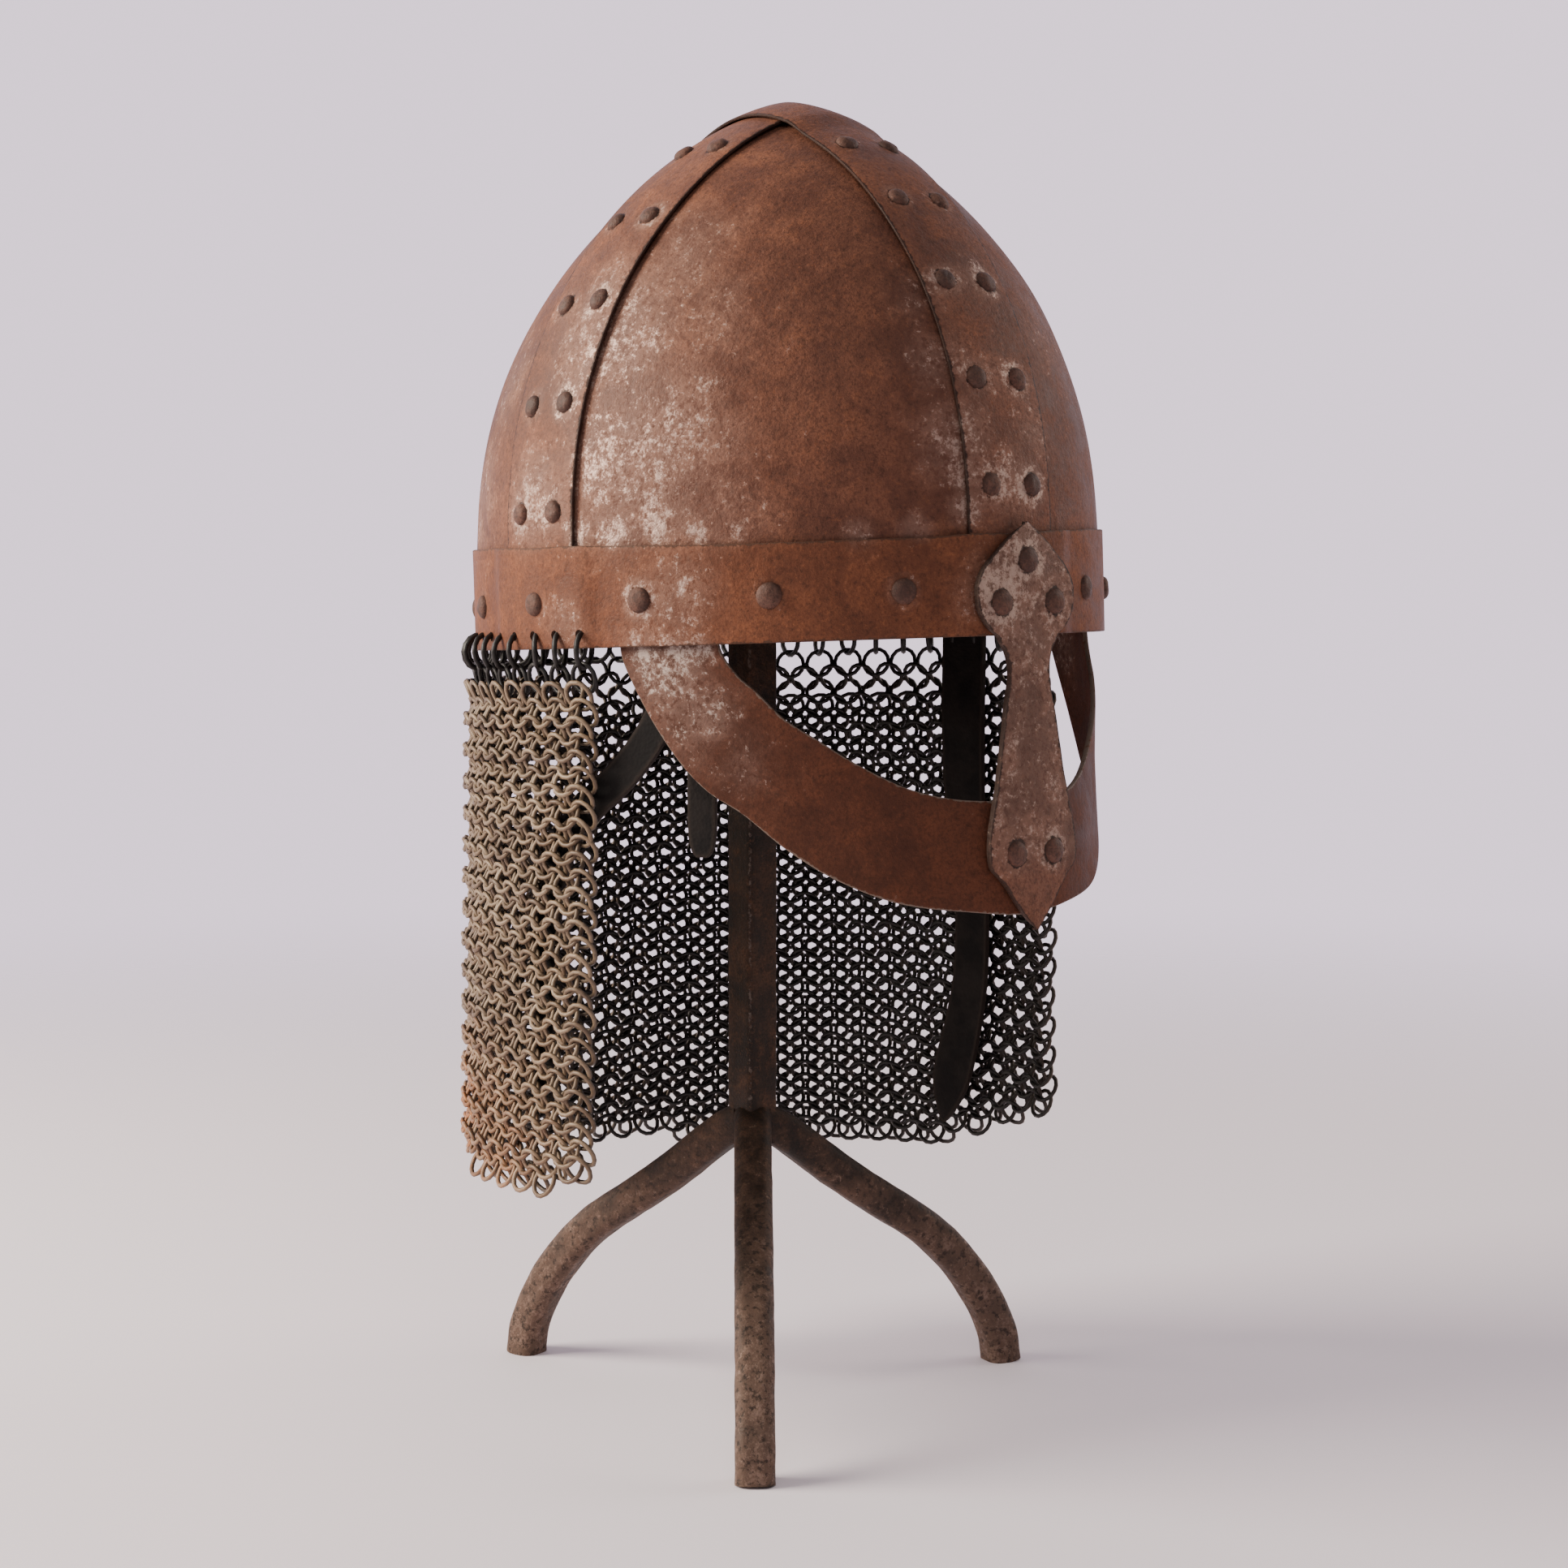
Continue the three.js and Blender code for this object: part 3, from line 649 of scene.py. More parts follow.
# Bare, rubbed places on all sides: angle, height and reach in millimetres, and strength
bareSpots = [
    (68, 58, 38, 1.0), (78, 98, 30, 0.95), (54, 40, 20, 0.65), (32, 36, 16, 0.3), (11, 62, 16, 0.95),
    (12, 84, 15, 0.8), (14, 106, 13, 0.6), (56, 104, 20, 0.5), (66, 122, 22, 0.65), (90, 48, 18, 0.9),
    (90, 92, 12, 0.5), (0, 48, 15, 0.85), (0, 82, 12, 0.5), (61, 16, 17, 1.0), (82, 8, 12, 0.8),
    (8, 15, 13, 0.8), (118, 50, 24, 0.8), (112, 90, 22, 0.6), (150, 70, 30, 0.5), (215, 60, 34, 0.6),
    (250, 95, 28, 0.5), (305, 62, 30, 0.6), (335, 90, 22, 0.5), (80, 35.5, 6, 1.3), (72, 36, 6, 1.6),
    (64, 36, 6, 1.5), (57, 35, 5, 1.2), (50, 35, 5, 0.9), (352, 62, 12, 0.7), (10.5, 50, 6, 1.4),
    (10, 40, 6, 1.4), (11.5, 60, 6, 1.1), (30, 33, 6, 0.9), (20, 33, 6, 1.1), (0, 112, 13, 0.5),
    (68, -1, 6, 1.6), (62, -1, 6, 1.6), (57, -1, 5, 1.4), (180, 45, 20, 0.6), (270, 50, 16, 0.6),
    (64, -6, 19, 1.1), (60, -20, 17, 0.9), (50, -36, 16, 0.5), (293, -5, 15, 0.8), (300, -20, 16, 0.5),
]


# Wear: how uneven it is, the rubbed ring round each rivet, and where it fades out
wear = {
    "spread": 16 * mm,
    "uneven": 0.18,
    "ringRadius": 4.8 * mm,
    "ringWidth": 1.9 * mm,
    "ringStrength": 0.5,
    "ringSpread": 30 * mm,
    "ringUneven": 0.6,
    "fade": 18 * mm,
    "most": 1.35,
}


def bareness(helmetPoints):
    total = np.zeros(len(helmetPoints))
    for angle, height, reach, strength in bareSpots:
        centre = onSkull(np.array([angle]), np.array([height * mm]))[0]
        away = np.linalg.norm(helmetPoints - centre, axis=1) / (reach * mm)
        total = np.maximum(total, strength * np.exp(-away ** 2))
    return total + bumps(helmetPoints, wear["spread"], wear["uneven"], 3.1)


# Each rivet's place also gets a rubbed ring round it.
def markBare(piece, extra=0.0, places=(), fadeBelow=None):
    local = rowToHelmet(readPoints(piece))
    bare = bareness(local) + extra
    if fadeBelow:
        bare = bare * smooth(fadeBelow, fadeBelow + wear["fade"], local[:, 2])
    for place in places:
        away = np.linalg.norm(local - place, axis=1) - wear["ringRadius"]
        strength = wear["ringStrength"] + bumps(place[None], wear["ringSpread"], wear["ringUneven"], 9.3)[0]
        bare = bare + strength * np.exp(-(away / wear["ringWidth"]) ** 2)
    setAttribute(piece, "bare", np.clip(bare, 0, wear["most"]))


# Rivet heads: sizes, places as shares of the dome's height, dents, and the dark ring round each
rivets = {
    "stripDiameter": 7.2 * mm,
    "bandDiameter": 8 * mm,
    "rise": 1.9 * mm,
    "stripPitch": 17.3 * mm,
    "ridgeShares": [0.108, 0.334, 0.547, 0.737, 0.875],
    "sideShares": [0.085, 0.318, 0.539, 0.725, 0.886],
    "bandSpaces": 16,
    "bandHeight": 14.4 * mm,
    "roundness": 2.6,
    "dentSpread": 2.4 * mm,
    "dentDepth": 0.28 * mm,
    "oval": 0.05,
    "rim": 0.9,
    "bare": 0.2,
    "haloGain": 0.9,
    "haloCore": 0.1,
    "haloMost": 9,
}


def makeRivet(name, place, diameter, lift, seed, normal=None):
    if normal is None:
        normal = skullNormal(place[None])[0]
    deselectAll()
    bpy.ops.mesh.primitive_uv_sphere_add(segments=20, ring_count=12, radius=1)
    head = bpy.context.object
    head.name = head.data.name = name
    inEdit(head, lambda: bpy.ops.mesh.bisect(
        plane_co=(0, 0, 0), plane_no=(0, 0, 1), use_fill=True, clear_inner=True))
    points = readPoints(head)
    reach = np.clip(np.hypot(points[:, 0], points[:, 1]), 0, 1)
    flat = np.sqrt(np.clip(1 - reach ** rivets["roundness"], 0, 1))
    points[:, 2] = np.where(points[:, 2] > 1e-4, flat, 0)
    points[:, :2] *= diameter / 2
    points[:, 2] *= rivets["rise"]
    dents = bumps(points, rivets["dentSpread"], rivets["dentDepth"], seed)
    points[:, 2] += np.where(points[:, 2] > 1e-6, dents * points[:, 2] / rivets["rise"], 0)
    points[:, 0] *= 1 + rivets["oval"] * math.sin(seed * 5)
    points = points @ turnTo(normal).T + place + normal * lift
    writePoints(head, helmetToRow(points))
    setAttribute(head, "rim", np.full(len(points), rivets["rim"]))
    setAttribute(head, "bare", np.full(len(points), rivets["bare"]))
    smoothShading(head, 50)
    return head


# Pairs of rivets on both sides of a strip's middle
def rivetPlaces(angles, shares):
    places = []
    for angle in angles:
        for share in shares:
            z = bandHeight + share * skull["domeHeight"]
            half = halfWidth if angle % 180 == 0 else halfLength
            swing = math.degrees(math.asin(rivets["stripPitch"] / 2 / (half * float(domeScale(z)))))
            for side in (-1, 1):
                places.append(onSkull(np.array([angle + side * swing]), np.array([z]))[0])
    return places


# The dark ring of rust at the foot of each rivet
def haloAround(piece, places, diameter):
    points = rowToHelmet(readPoints(piece))
    rim = np.empty(len(points))
    piece.data.attributes["rim"].data.foreach_get("value", rim)
    for place in places:
        away = np.linalg.norm(points - place, axis=1) / mm - diameter / 2 / mm
        halo = away * rivets["haloGain"] + rivets["haloCore"]
        rim = np.minimum(rim, np.clip(halo, 0, rivets["haloMost"]))
    setAttribute(piece, "rim", rim)


# Panels: the rows below the band's upper edge take the foot share, and dents start above it
panelShape = {
    "grid": (64, 72),
    "foot": 8.2 * mm,
    "footShare": 0.09,
    "seam": 2 * mm,
    "topShare": 0.985,
    "dents": 0.5 * mm,
    "dentSpread": 34 * mm,
    "dentMiddle": 0.6,
    "dentsFrom": 12 * mm,
}


def makePanel(label, fromAngle):
    def place(u, v):
        lift = np.maximum(v * 1.1 - 0.1, 0)
        share = np.sin(lift * math.asin(panelShape["topShare"]))
        below = panelShape["foot"] + v / panelShape["footShare"] * (bandHeight - panelShape["foot"])
        z = np.where(v < panelShape["footShare"], below, bandHeight + share * skull["domeHeight"])
        scale = domeScale(z)
        edgeAcross = np.degrees(np.arcsin(panelShape["seam"] / 2 / (halfWidth * scale)))
        edgeAlong = np.degrees(np.arcsin(panelShape["seam"] / 2 / (halfLength * scale)))
        fromRidge = fromAngle % 180 == 0
        start = fromAngle + (edgeAcross if fromRidge else edgeAlong)
        end = fromAngle + 90 - (edgeAlong if fromRidge else edgeAcross)
        angle = start + u * (end - start)
        flat = onSkull(angle, z)
        inward = smooth(bandHeight, bandHeight + panelShape["dentsFrom"], z)
        dent = bumps(flat, panelShape["dentSpread"], 1.0, 1.7) - panelShape["dentMiddle"]
        return helmetToRow(onSkull(angle, z, dent * panelShape["dents"] * inward))
    name = "panel_" + label + "_plate"
    piece = laySheet(name, *panelShape["grid"], place, sheets["panelWall"], soften=0, worn="")
    markBare(piece)
    return finishPiece(piece, plateIron, "panel_iron", "panel_" + label)


for order, label in enumerate(("right_front", "right_back", "left_back", "left_front")):
    makePanel(label, 90 * order)
print("panels laid")


# Strips: laid where lines from inside meet the skull, the ridge strip climbing over the side strips
stripShape = {
    "rows": 20,
    "columns": 130,
    "uneven": 26 * mm,
    "unevenDepth": 0.25 * mm,
    "climbFrom": 3 * mm,
    "climbTo": 14 * mm,
    "topGap": 1.5 * mm,
    "bare": -0.05,
    "rivetsSunk": 0.15 * mm,
}


def makeStrip(node, toward, half, climb, rivetAngles, shares):
    toward = np.array(toward, float)
    aside = np.abs(toward[[1, 0, 2]])
    up = np.array([0.0, 0, 1])
    foot = -math.atan2(castHeight - panelShape["foot"], half)
    top = math.pi / 2 - math.atan2(stripShape["topGap"], bandHeight + skull["domeHeight"] - castHeight)
    last = math.pi - foot if climb else top

    def place(u, v):
        angle = (foot + u * (last - foot))[:, None]
        start = (v[:, None] - 0.5) * sheets["stripWidth"] * aside + castHeight * up
        point = cast(start, toward * np.cos(angle) + up * np.sin(angle))
        past = np.abs(point[:, 1] - domeLean(point[:, 2])) - sheets["stripWidth"] / 2
        over = climb * (1 - smooth(stripShape["climbFrom"], stripShape["climbTo"], past))
        lift = stripFace + over + bumps(point, stripShape["uneven"], stripShape["unevenDepth"], 4.4)
        return helmetToRow(point + skullNormal(point) * lift[:, None])
    count = stripShape["columns"] * (2 if climb else 1)
    piece = laySheet(node + "_plate", count, stripShape["rows"], place, sheets["stripWall"], worn="v")
    places = rivetPlaces(rivetAngles, shares)
    haloAround(piece, places, rivets["stripDiameter"])
    markBare(piece, stripShape["bare"], places)
    finishPiece(piece, stripIron, "strip_iron", node)
    lift = stripFace - stripShape["rivetsSunk"]
    heads = [makeRivet("head", spot, rivets["stripDiameter"], lift, count + 1.3)
             for count, spot in enumerate(places)]
    head = joinPieces(heads[0], heads[1:])
    head.name = head.data.name = node + "_rivets"
    finishPiece(head, rivetIron, "rivet_iron")


makeStrip("ridge_strip", (0, -1, 0), halfLength, stripFace, (0, 180), rivets["ridgeShares"])
makeStrip("side_strip_right", (-1, 0, 0), halfWidth, 0, (90,), rivets["sideShares"])
makeStrip("side_strip_left", (1, 0, 0), halfWidth, 0, (270,), rivets["sideShares"])
print("strips laid")

# Mail: pitches of the weave and the rings' size; the band's holes follow its columns
mail = {
    "columns": 35,
    "frontAngle": 77.5,
    "edgeInset": 1.8,
    "ring": 4.9 * mm,
    "wire": 0.8 * mm,
    "sides": (14, 5),
    "rowPitch": 5.35 * mm,
    "lean": 28,
    "openLean": 8,
    "openDrop": 14 * mm,
    "hangRing": 5.7 * mm,
    "hangGap": 0.9 * mm,
    "hangTurn": (18, 42),
    "holeHeight": 4.4 * mm,
    "drop": 192 * mm,
    "flare": 2.4 * mm,
    "middle": 2.1 * mm,
    "wave": 0.6 * mm,
    "sway": 0.5 * mm,
    "liningTop": 4.6 * mm,
    "coverOut": 0.7 * mm,
    "liningIn": 1.3 * mm,
    "stray": 0.18 * mm,
    "strayLean": 3,
    "strayTurn": 6,
    "lateFrom": 175,
    "lateRows": 2,
    # painted shade: the far side keeps only this share of its lit colour, ramping in over these angles, and
    # the top rows under the band fade into shade
    "farShade": 0.35,
    "farShadeFrom": (150, 205),
    "topShade": (0.055, 0.075),
    "rustMiddle": 118,
    "rustReach": 20,
    "rustSpread": 18 * mm,
}


# Angles round the oval at equal steps of its length
def evenAngles(count, start, end):
    fine = np.linspace(start, end, 2000)
    points = onWall(fine, np.zeros(2000), mail["middle"])
    length = np.concatenate([[0], np.cumsum(np.linalg.norm(np.diff(points, axis=0), axis=1))])
    return np.interp(np.linspace(0, length[-1], count), length, fine)


firstColumn = mail["frontAngle"] + mail["edgeInset"]
columnAngles = evenAngles(2 * mail["columns"] - 1, firstColumn, 360 - firstColumn)


# Brow band: its uneven upper edge and face, holes, and how it climbs over the strips' feet
bandShape = {
    "grid": (420, 14),
    "climbFrom": 3 * mm,
    "climbTo": 12 * mm,
    "ripple": 18 * mm,
    "rippleDepth": 0.5 * mm,
    "lower": 0.2 * mm,
    "tallFrom": 40,
    "uneven": 30 * mm,
    "unevenDepth": 0.2 * mm,
    "hole": 1.5 * mm,
    "bare": -0.1,
}


def bandLift(angle):
    nearest = np.abs(angle - 90 * np.rint(angle / 90))
    half = np.where(np.rint(angle / 90) % 2 == 0, halfWidth, halfLength)
    past = np.radians(nearest) * half - sheets["stripWidth"] / 2
    return stripFace * (1 - smooth(bandShape["climbFrom"], bandShape["climbTo"], past))


def makeBand():
    def place(u, v):
        angle = u * 360
        edge = onWall(angle, v * bandHeight)
        ripple = bumps(edge * np.array([1, 1, 0]), bandShape["ripple"], bandShape["rippleDepth"], 8.2)
        taller = sheets["bandTaller"] * np.sin(np.radians(angle - bandShape["tallFrom"])) ** 2
        z = v * (bandHeight + taller + ripple - bandShape["lower"])
        face = sheets["seatGap"] + bandLift(angle) + sheets["bandWall"]
        face = face + bumps(edge, bandShape["uneven"], bandShape["unevenDepth"], 5.5)
        return helmetToRow(onWall(angle, z, face))
    piece = laySheet("brow_band_plate", *bandShape["grid"], place, sheets["bandWall"],
                     closed=True, worn="v")
    cutters = []
    for angle in columnAngles[::2]:
        deselectAll()
        bpy.ops.mesh.primitive_cylinder_add(vertices=12, radius=bandShape["hole"], depth=8 * mm)
        cutter = bpy.context.object
        centre = onWall(np.array([angle]), np.array([mail["holeHeight"]]), 1 * mm)
        turn = turnTo(skullNormal(centre)[0])
        writePoints(cutter, helmetToRow(readPoints(cutter) @ turn.T + centre))
        cutters.append(cutter)
    cutter = joinPieces(cutters[0], cutters[1:])
    applyModifier(piece, "BOOLEAN", operation="DIFFERENCE", object=cutter, solver="EXACT")
    bpy.data.objects.remove(cutter)
    angles = [360 / rivets["bandSpaces"] * count for count in range(1, rivets["bandSpaces"])]
    places = [onSkull(np.array([angle]), np.array([rivets["bandHeight"]]))[0] for angle in angles]
    haloAround(piece, places, rivets["bandDiameter"])
    markBare(piece, bandShape["bare"], places)
    smoothShading(piece, 40)
    finishPiece(piece, bandIron, "band_iron", "brow_band")
    for count, (angle, spot) in enumerate(zip(angles, places)):
        name = "band_rivet_%02d" % (count + 1)
        lift = sheets["seatGap"] + float(bandLift(np.array([angle]))[0]) + sheets["bandWall"]
        head = makeRivet(name + "_head", spot, rivets["bandDiameter"], lift, count + 20.7)
        finishPiece(head, rivetIron, "rivet_iron", name)


makeBand()
print("band and rivets made")

# Nasal: rows of height as a share of its drop or rise, and width as a share; rivets across and up
nasalShape = {
    "drop": 92 * mm,
    "rise": 35 * mm,
    "width": 41.5 * mm,
    "shift": 1.5 * mm,
    "curve": 0.35,
    "grid": (190, 26),
    "ragged": 7 * mm,
    "raggedDepth": 0.5 * mm,
    "crown": 0.3 * mm,
    "uneven": 14 * mm,
    "unevenDepth": 0.25 * mm,
    "soften": 0.45 * mm,
    "bare": 0.64,
    "bareFrom": -82 * mm,
    "rivetLift": 0.1 * mm,
    "rows": [
        (-1, 0.02), (-0.92, 0.34), (-0.825, 0.66), (-0.77, 0.88), (-0.67, 0.885), (-0.58, 0.79),
        (-0.48, 0.69), (-0.37, 0.6), (-0.26, 0.51), (-0.14, 0.41), (-0.065, 0.45), (-0.01, 0.6),
        (0.07, 0.8), (0.23, 0.98), (0.41, 1), (0.58, 0.87), (0.77, 0.54), (0.9, 0.26), (1, 0.02),
    ],
    "rivets": [
        ("top", 0, 0.66), ("upper_right", -0.55, 0.29), ("upper_left", 0.55, 0.29),
        ("lower_right", -0.39, -0.735), ("lower_left", 0.39, -0.735),
    ],
}


def onNasal(across, z, offset):
    x = nasalShape["shift"] + across
    front = -halfLength * np.sqrt(1 - (x / halfWidth) ** 2)
    middle = -halfLength * math.sqrt(1 - (nasalShape["shift"] / halfWidth) ** 2)
    y = middle + nasalShape["curve"] * (front - middle) - offset
    return np.stack(np.broadcast_arrays(x, y, z), 1)


# Smooth reading of a table, from its first row at 0 to its last at 1
def readRows(rows, key):
    table = np.array(rows, float)
    last = len(table) - 1
    position = np.clip(key * last, 0, last)
    low = np.minimum(position.astype(int), last - 1)
    share = (position - low)[:, None]
    before = table[np.maximum(low - 1, 0)]
    here = table[low]
    there = table[low + 1]
    after = table[np.minimum(low + 2, last)]
    slope = there - before
    bend = 2 * before - 5 * here + 4 * there - after
    change = 3 * here - before - 3 * there + after
    return 0.5 * (2 * here + slope * share + bend * share ** 2 + change * share ** 3)


def nasalHeight(share):
    share = np.asarray(share, float)
    return np.where(share < 0, share * nasalShape["drop"], share * nasalShape["rise"])


def makeNasal():
    face = bandFace + sheets["seatGap"] + sheets["nasalWall"]

    def place(u, v):
        share, width = readRows(nasalShape["rows"], u).T
        across = (v - 0.5) * nasalShape["width"] * np.clip(width, 0.02, 1)
        middle = onNasal(across, nasalHeight(share), 0)
        ragged = bumps(middle, nasalShape["ragged"], nasalShape["raggedDepth"], 2.9)
        across = across + ragged * np.clip(width, 0, 0.6)
        flat = onNasal(across, nasalHeight(share), face)
        crown = nasalShape["crown"] * (1 - (2 * v - 1) ** 2)
        uneven = bumps(flat, nasalShape["uneven"], nasalShape["unevenDepth"], 6.1)
        return helmetToRow(onNasal(across, nasalHeight(share), face + crown + uneven))
    piece = laySheet("nasal_plate", *nasalShape["grid"], place, sheets["nasalWall"],
                     soften=nasalShape["soften"])
    places = []
    for label, across, share in nasalShape["rivets"]:
        height = np.array([float(nasalHeight(share))])
        places.append(onNasal(np.array([across * nasalShape["width"] / 2]), height, face)[0])
    haloAround(piece, places, rivets["bandDiameter"])
    markBare(piece, nasalShape["bare"], places, nasalShape["bareFrom"])
    finishPiece(piece, nasalIron, "guard_iron", "nasal")
    ahead = np.array([0.0, -1, 0])
    for count, (row, spot) in enumerate(zip(nasalShape["rivets"], places)):
        name = "nasal_rivet_" + row[0]
        lift = nasalShape["rivetLift"]
        head = makeRivet(name + "_head", spot, rivets["bandDiameter"], lift, count + 40.9, ahead)
        finishPiece(head, rivetIron, "rivet_iron", name)


# Guard: rows from the right root to the middle, with angle and height of the upper and the lower
# edge, each as a share, and how far the guard stands out
guardShape = {
    "drop": 87 * mm,
    "rootAngle": 72.7,
    "grid": (300, 30),
    "uneven": 22 * mm,
    "unevenDepth": 0.3 * mm,
    "in": 0.1 * mm,
    "soften": 0.5 * mm,
    "rows": [
        (0.757, 0.25, 1, 0.25, 0), (0.75, 0.09, 1, 0.09, 0), (0.742, -0.02, 1, -0.02, 0),
        (0.705, -0.108, 0.973, -0.12, 0), (0.657, -0.175, 0.915, -0.276, 0),
        (0.595, -0.27, 0.85, -0.418, -0.05), (0.52, -0.345, 0.785, -0.52, -0.15),
        (0.455, -0.41, 0.7, -0.605, -0.25), (0.375, -0.478, 0.6, -0.73, -0.2),
        (0.3, -0.53, 0.485, -0.84, 0), (0.21, -0.567, 0.34, -0.93, 0.4),
        (0.11, -0.585, 0.165, -0.975, 0.85), (0, -0.59, 0, -1, 1),
    ],
}


def makeGuard():
    rows = guardShape["rows"]
    both = rows + [(-a, b, -c, d, e) for a, b, c, d, e in reversed(rows[:-1])]
    rootOffset = -sheets["panelWall"] - 2 * sheets["seatGap"] - sheets["guardWall"]
    frontOffset = bandFace - sheets["guardWall"]

    def place(u, v):
        upAngle, upHeight, lowAngle, lowHeight, out = readRows(both, u).T
        angle = (upAngle + v * (lowAngle - upAngle)) * guardShape["rootAngle"]
        z = (upHeight + v * (lowHeight - upHeight)) * guardShape["drop"]
        offset = rootOffset + np.clip(out, -0.3, 1) * (frontOffset - rootOffset) + sheets["guardWall"]
        uneven = bumps(onWall(angle, z), guardShape["uneven"], guardShape["unevenDepth"], 7.7)
        return helmetToRow(onWall(angle, z, offset + uneven - guardShape["in"]))
    piece = laySheet("eye_guard_plate", *guardShape["grid"], place, sheets["guardWall"],
                     soften=guardShape["soften"])
    markBare(piece)
    finishPiece(piece, guardIron, "guard_iron", "eye_guard")


makeNasal()
makeGuard()
print("nasal and guard made")


# Mail rings: the hem, as rows of angle and share of the drop
hemRows = [
    (77, 0.895), (84, 0.91), (92, 0.925), (125, 0.92), (155, 0.97), (180, 1), (220, 1.015), (240, 1.012),
    (256, 0.99), (272, 0.935), (284, 0.9),
]


def ringShape(radius, wire, around, across):
    turn = np.arange(around) / around * 2 * math.pi
    section = np.arange(across) / across * 2 * math.pi
    reach = radius + wire * np.cos(section)[None, :]
    x = np.cos(turn)[:, None] * reach
    y = np.sin(turn)[:, None] * reach
    z = np.broadcast_to(wire * np.sin(section)[None, :], x.shape)
    points = np.stack([x, y, z], 2).reshape(-1, 3)
    faces = []
    for i in range(around):
        for j in range(across):
            a = i * across + j
            b = ((i + 1) % around) * across + j
            c = ((i + 1) % around) * across + (j + 1) % across
            d = i * across + (j + 1) % across
            faces.append((a, b, c, d))
    return points, np.array(faces)


# A column's outward direction, upright frame, place on the wall, sideways direction and brim height
def mailColumn(angle):
    wall = onWall(np.array([angle]), np.array([0.0]))[0]
    out = skullNormal(wall[None])[0]
    sideways = np.cross([0, 0, 1], out)
    upright = np.stack([sideways, np.array([0, 0, 1.0]), out], 1)
    return out, upright, wall, sideways, float((wall @ tip.T)[2])


# A small random amount to either side
def stray(most):
    return random.uniform(-most, most)


def hangingRings():
    places = []
    for angle in columnAngles[::2]:
        out, upright = mailColumn(angle)[:2]
        height = mail["holeHeight"] - mail["hangRing"] + mail["hangGap"]
        centre = onWall(np.array([angle]), np.array([height]), mail["hangGap"])[0] @ tip.T
        basis = upright @ rotation("y", 90 + random.uniform(*mail["hangTurn"]))
        basis = basis @ rotation("x", stray(mail["strayTurn"]))
        places.append((centre, basis, mail["hangRing"], 0, out))
    return places


# One layer of the weave: rows of rings leaning to and fro, every other column half a pitch lower
def weaveRings(late, offset, start):
    hemAngles, hemShares = np.array(hemRows, float).T
    places = []
    for column, angle in enumerate(columnAngles):
        out, upright, wall, sideways, brim = mailColumn(angle)
        drop = np.interp(angle, hemAngles, hemShares) * mail["drop"]
        first = brim - start - mail["ring"]
        row = column % 2 + (late if angle > mail["lateFrom"] else 0)
        z = first - row * mail["rowPitch"]
        while z - mail["ring"] * 0.9 > -drop:
            share = (brim - z) / mail["drop"]
            wave = mail["wave"] * math.sin(math.radians(angle * 7)) * share
            sway = mail["sway"] * share * math.sin(0.31 * column + 0.23 * row)
            centre = wall + out * (mail["middle"] + offset + mail["flare"] * share + wave) + sideways * sway
            centre = np.array([centre[0], centre[1], z])
            centre = centre + np.array([stray(1) for axis in range(3)]) * mail["stray"]
            opened = smooth(0, mail["openDrop"], brim - z - mail["ring"])
            lean = mail["openLean"] + float(opened) * (mail["lean"] - mail["openLean"])
            basis = upright @ rotation("x", (lean if row % 2 == 0 else -lean) + stray(mail["strayLean"]))
            basis = basis @ rotation("y", stray(mail["strayTurn"]))
            places.append((centre, basis, mail["ring"], share, out))
            row += 2
            z = first - row * mail["rowPitch"]
    return places


# Rings made into one piece, with a tone for each, rust low on the near side, and painted shade: the
# near-black inside colour on the rings' inward parts and tube sides, on the far side and in the top rows
def layRings(name, places, material):
    points, faces = ringShape(1, mail["wire"] / mail["ring"], *mail["sides"])
    core = ringShape(1, 0, *mail["sides"])[0]
    allPoints, allFaces, tones, rusts, outers = [], [], [], [], []
    for count, (centre, basis, radius, share, out) in enumerate(places):
        ring = (points * radius) @ basis.T
        allPoints.append(ring + centre)
        allFaces.append(faces + count * len(points))
        tones.append(np.full(len(points), random.random()))
        angle = math.degrees(math.atan2(-centre[0] / halfWidth, -centre[1] / halfLength)) % 360
        # painted shade: the far side, the tube's sides, the rings' inward parts and the top rows take the
        # near-black inside colour
        farLit = 1 - (1 - mail["farShade"]) * float(smooth(*mail["farShadeFrom"], angle))
        facing = 0.15 + 0.85 * smooth(-0.45 * mm, 0.55 * mm, ((points - core) * radius) @ basis.T @ out)
        shown = smooth(-2.4 * mm, -0.6 * mm, ring @ out) * facing
        outers.append(shown * farLit * float(smooth(*mail["topShade"], share)))
        aside = (angle - mail["rustMiddle"]) / mail["rustReach"]
        lowRust = smooth(0.6, 0.85, share) * math.exp(-aside ** 2)
        patch = 0.5 + 0.5 * noise.noise(Vector(centre) / mail["rustSpread"])
        rusty = 1.3 * float(lowRust) * patch + 0.25 * max(patch - 0.55, 0)
        rusts.append(np.full(len(points), min(1, rusty)))
    piece = newPiece(name, uprightToRow(np.concatenate(allPoints)), np.concatenate(allFaces).tolist())
    setAttribute(piece, "tone", np.concatenate(tones))
    setAttribute(piece, "rusty", np.concatenate(rusts))
    setAttribute(piece, "outer", np.concatenate(outers))
    choose(piece)
    bpy.ops.object.shade_smooth()
    print(name, "rings:", len(places), "triangles:", 2 * len(faces) * len(places))
    return finishPiece(piece, material, "mail_iron")


lining = weaveRings(0, -mail["liningIn"], mail["liningTop"])
layRings("mail_lining", hangingRings() + lining, mailIron)
coverTop = mail["liningTop"] + mail["rowPitch"]
cover = layRings("mail_cover", weaveRings(mail["lateRows"], mail["coverOut"], coverTop), mailIron)
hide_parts("mail_curtain")

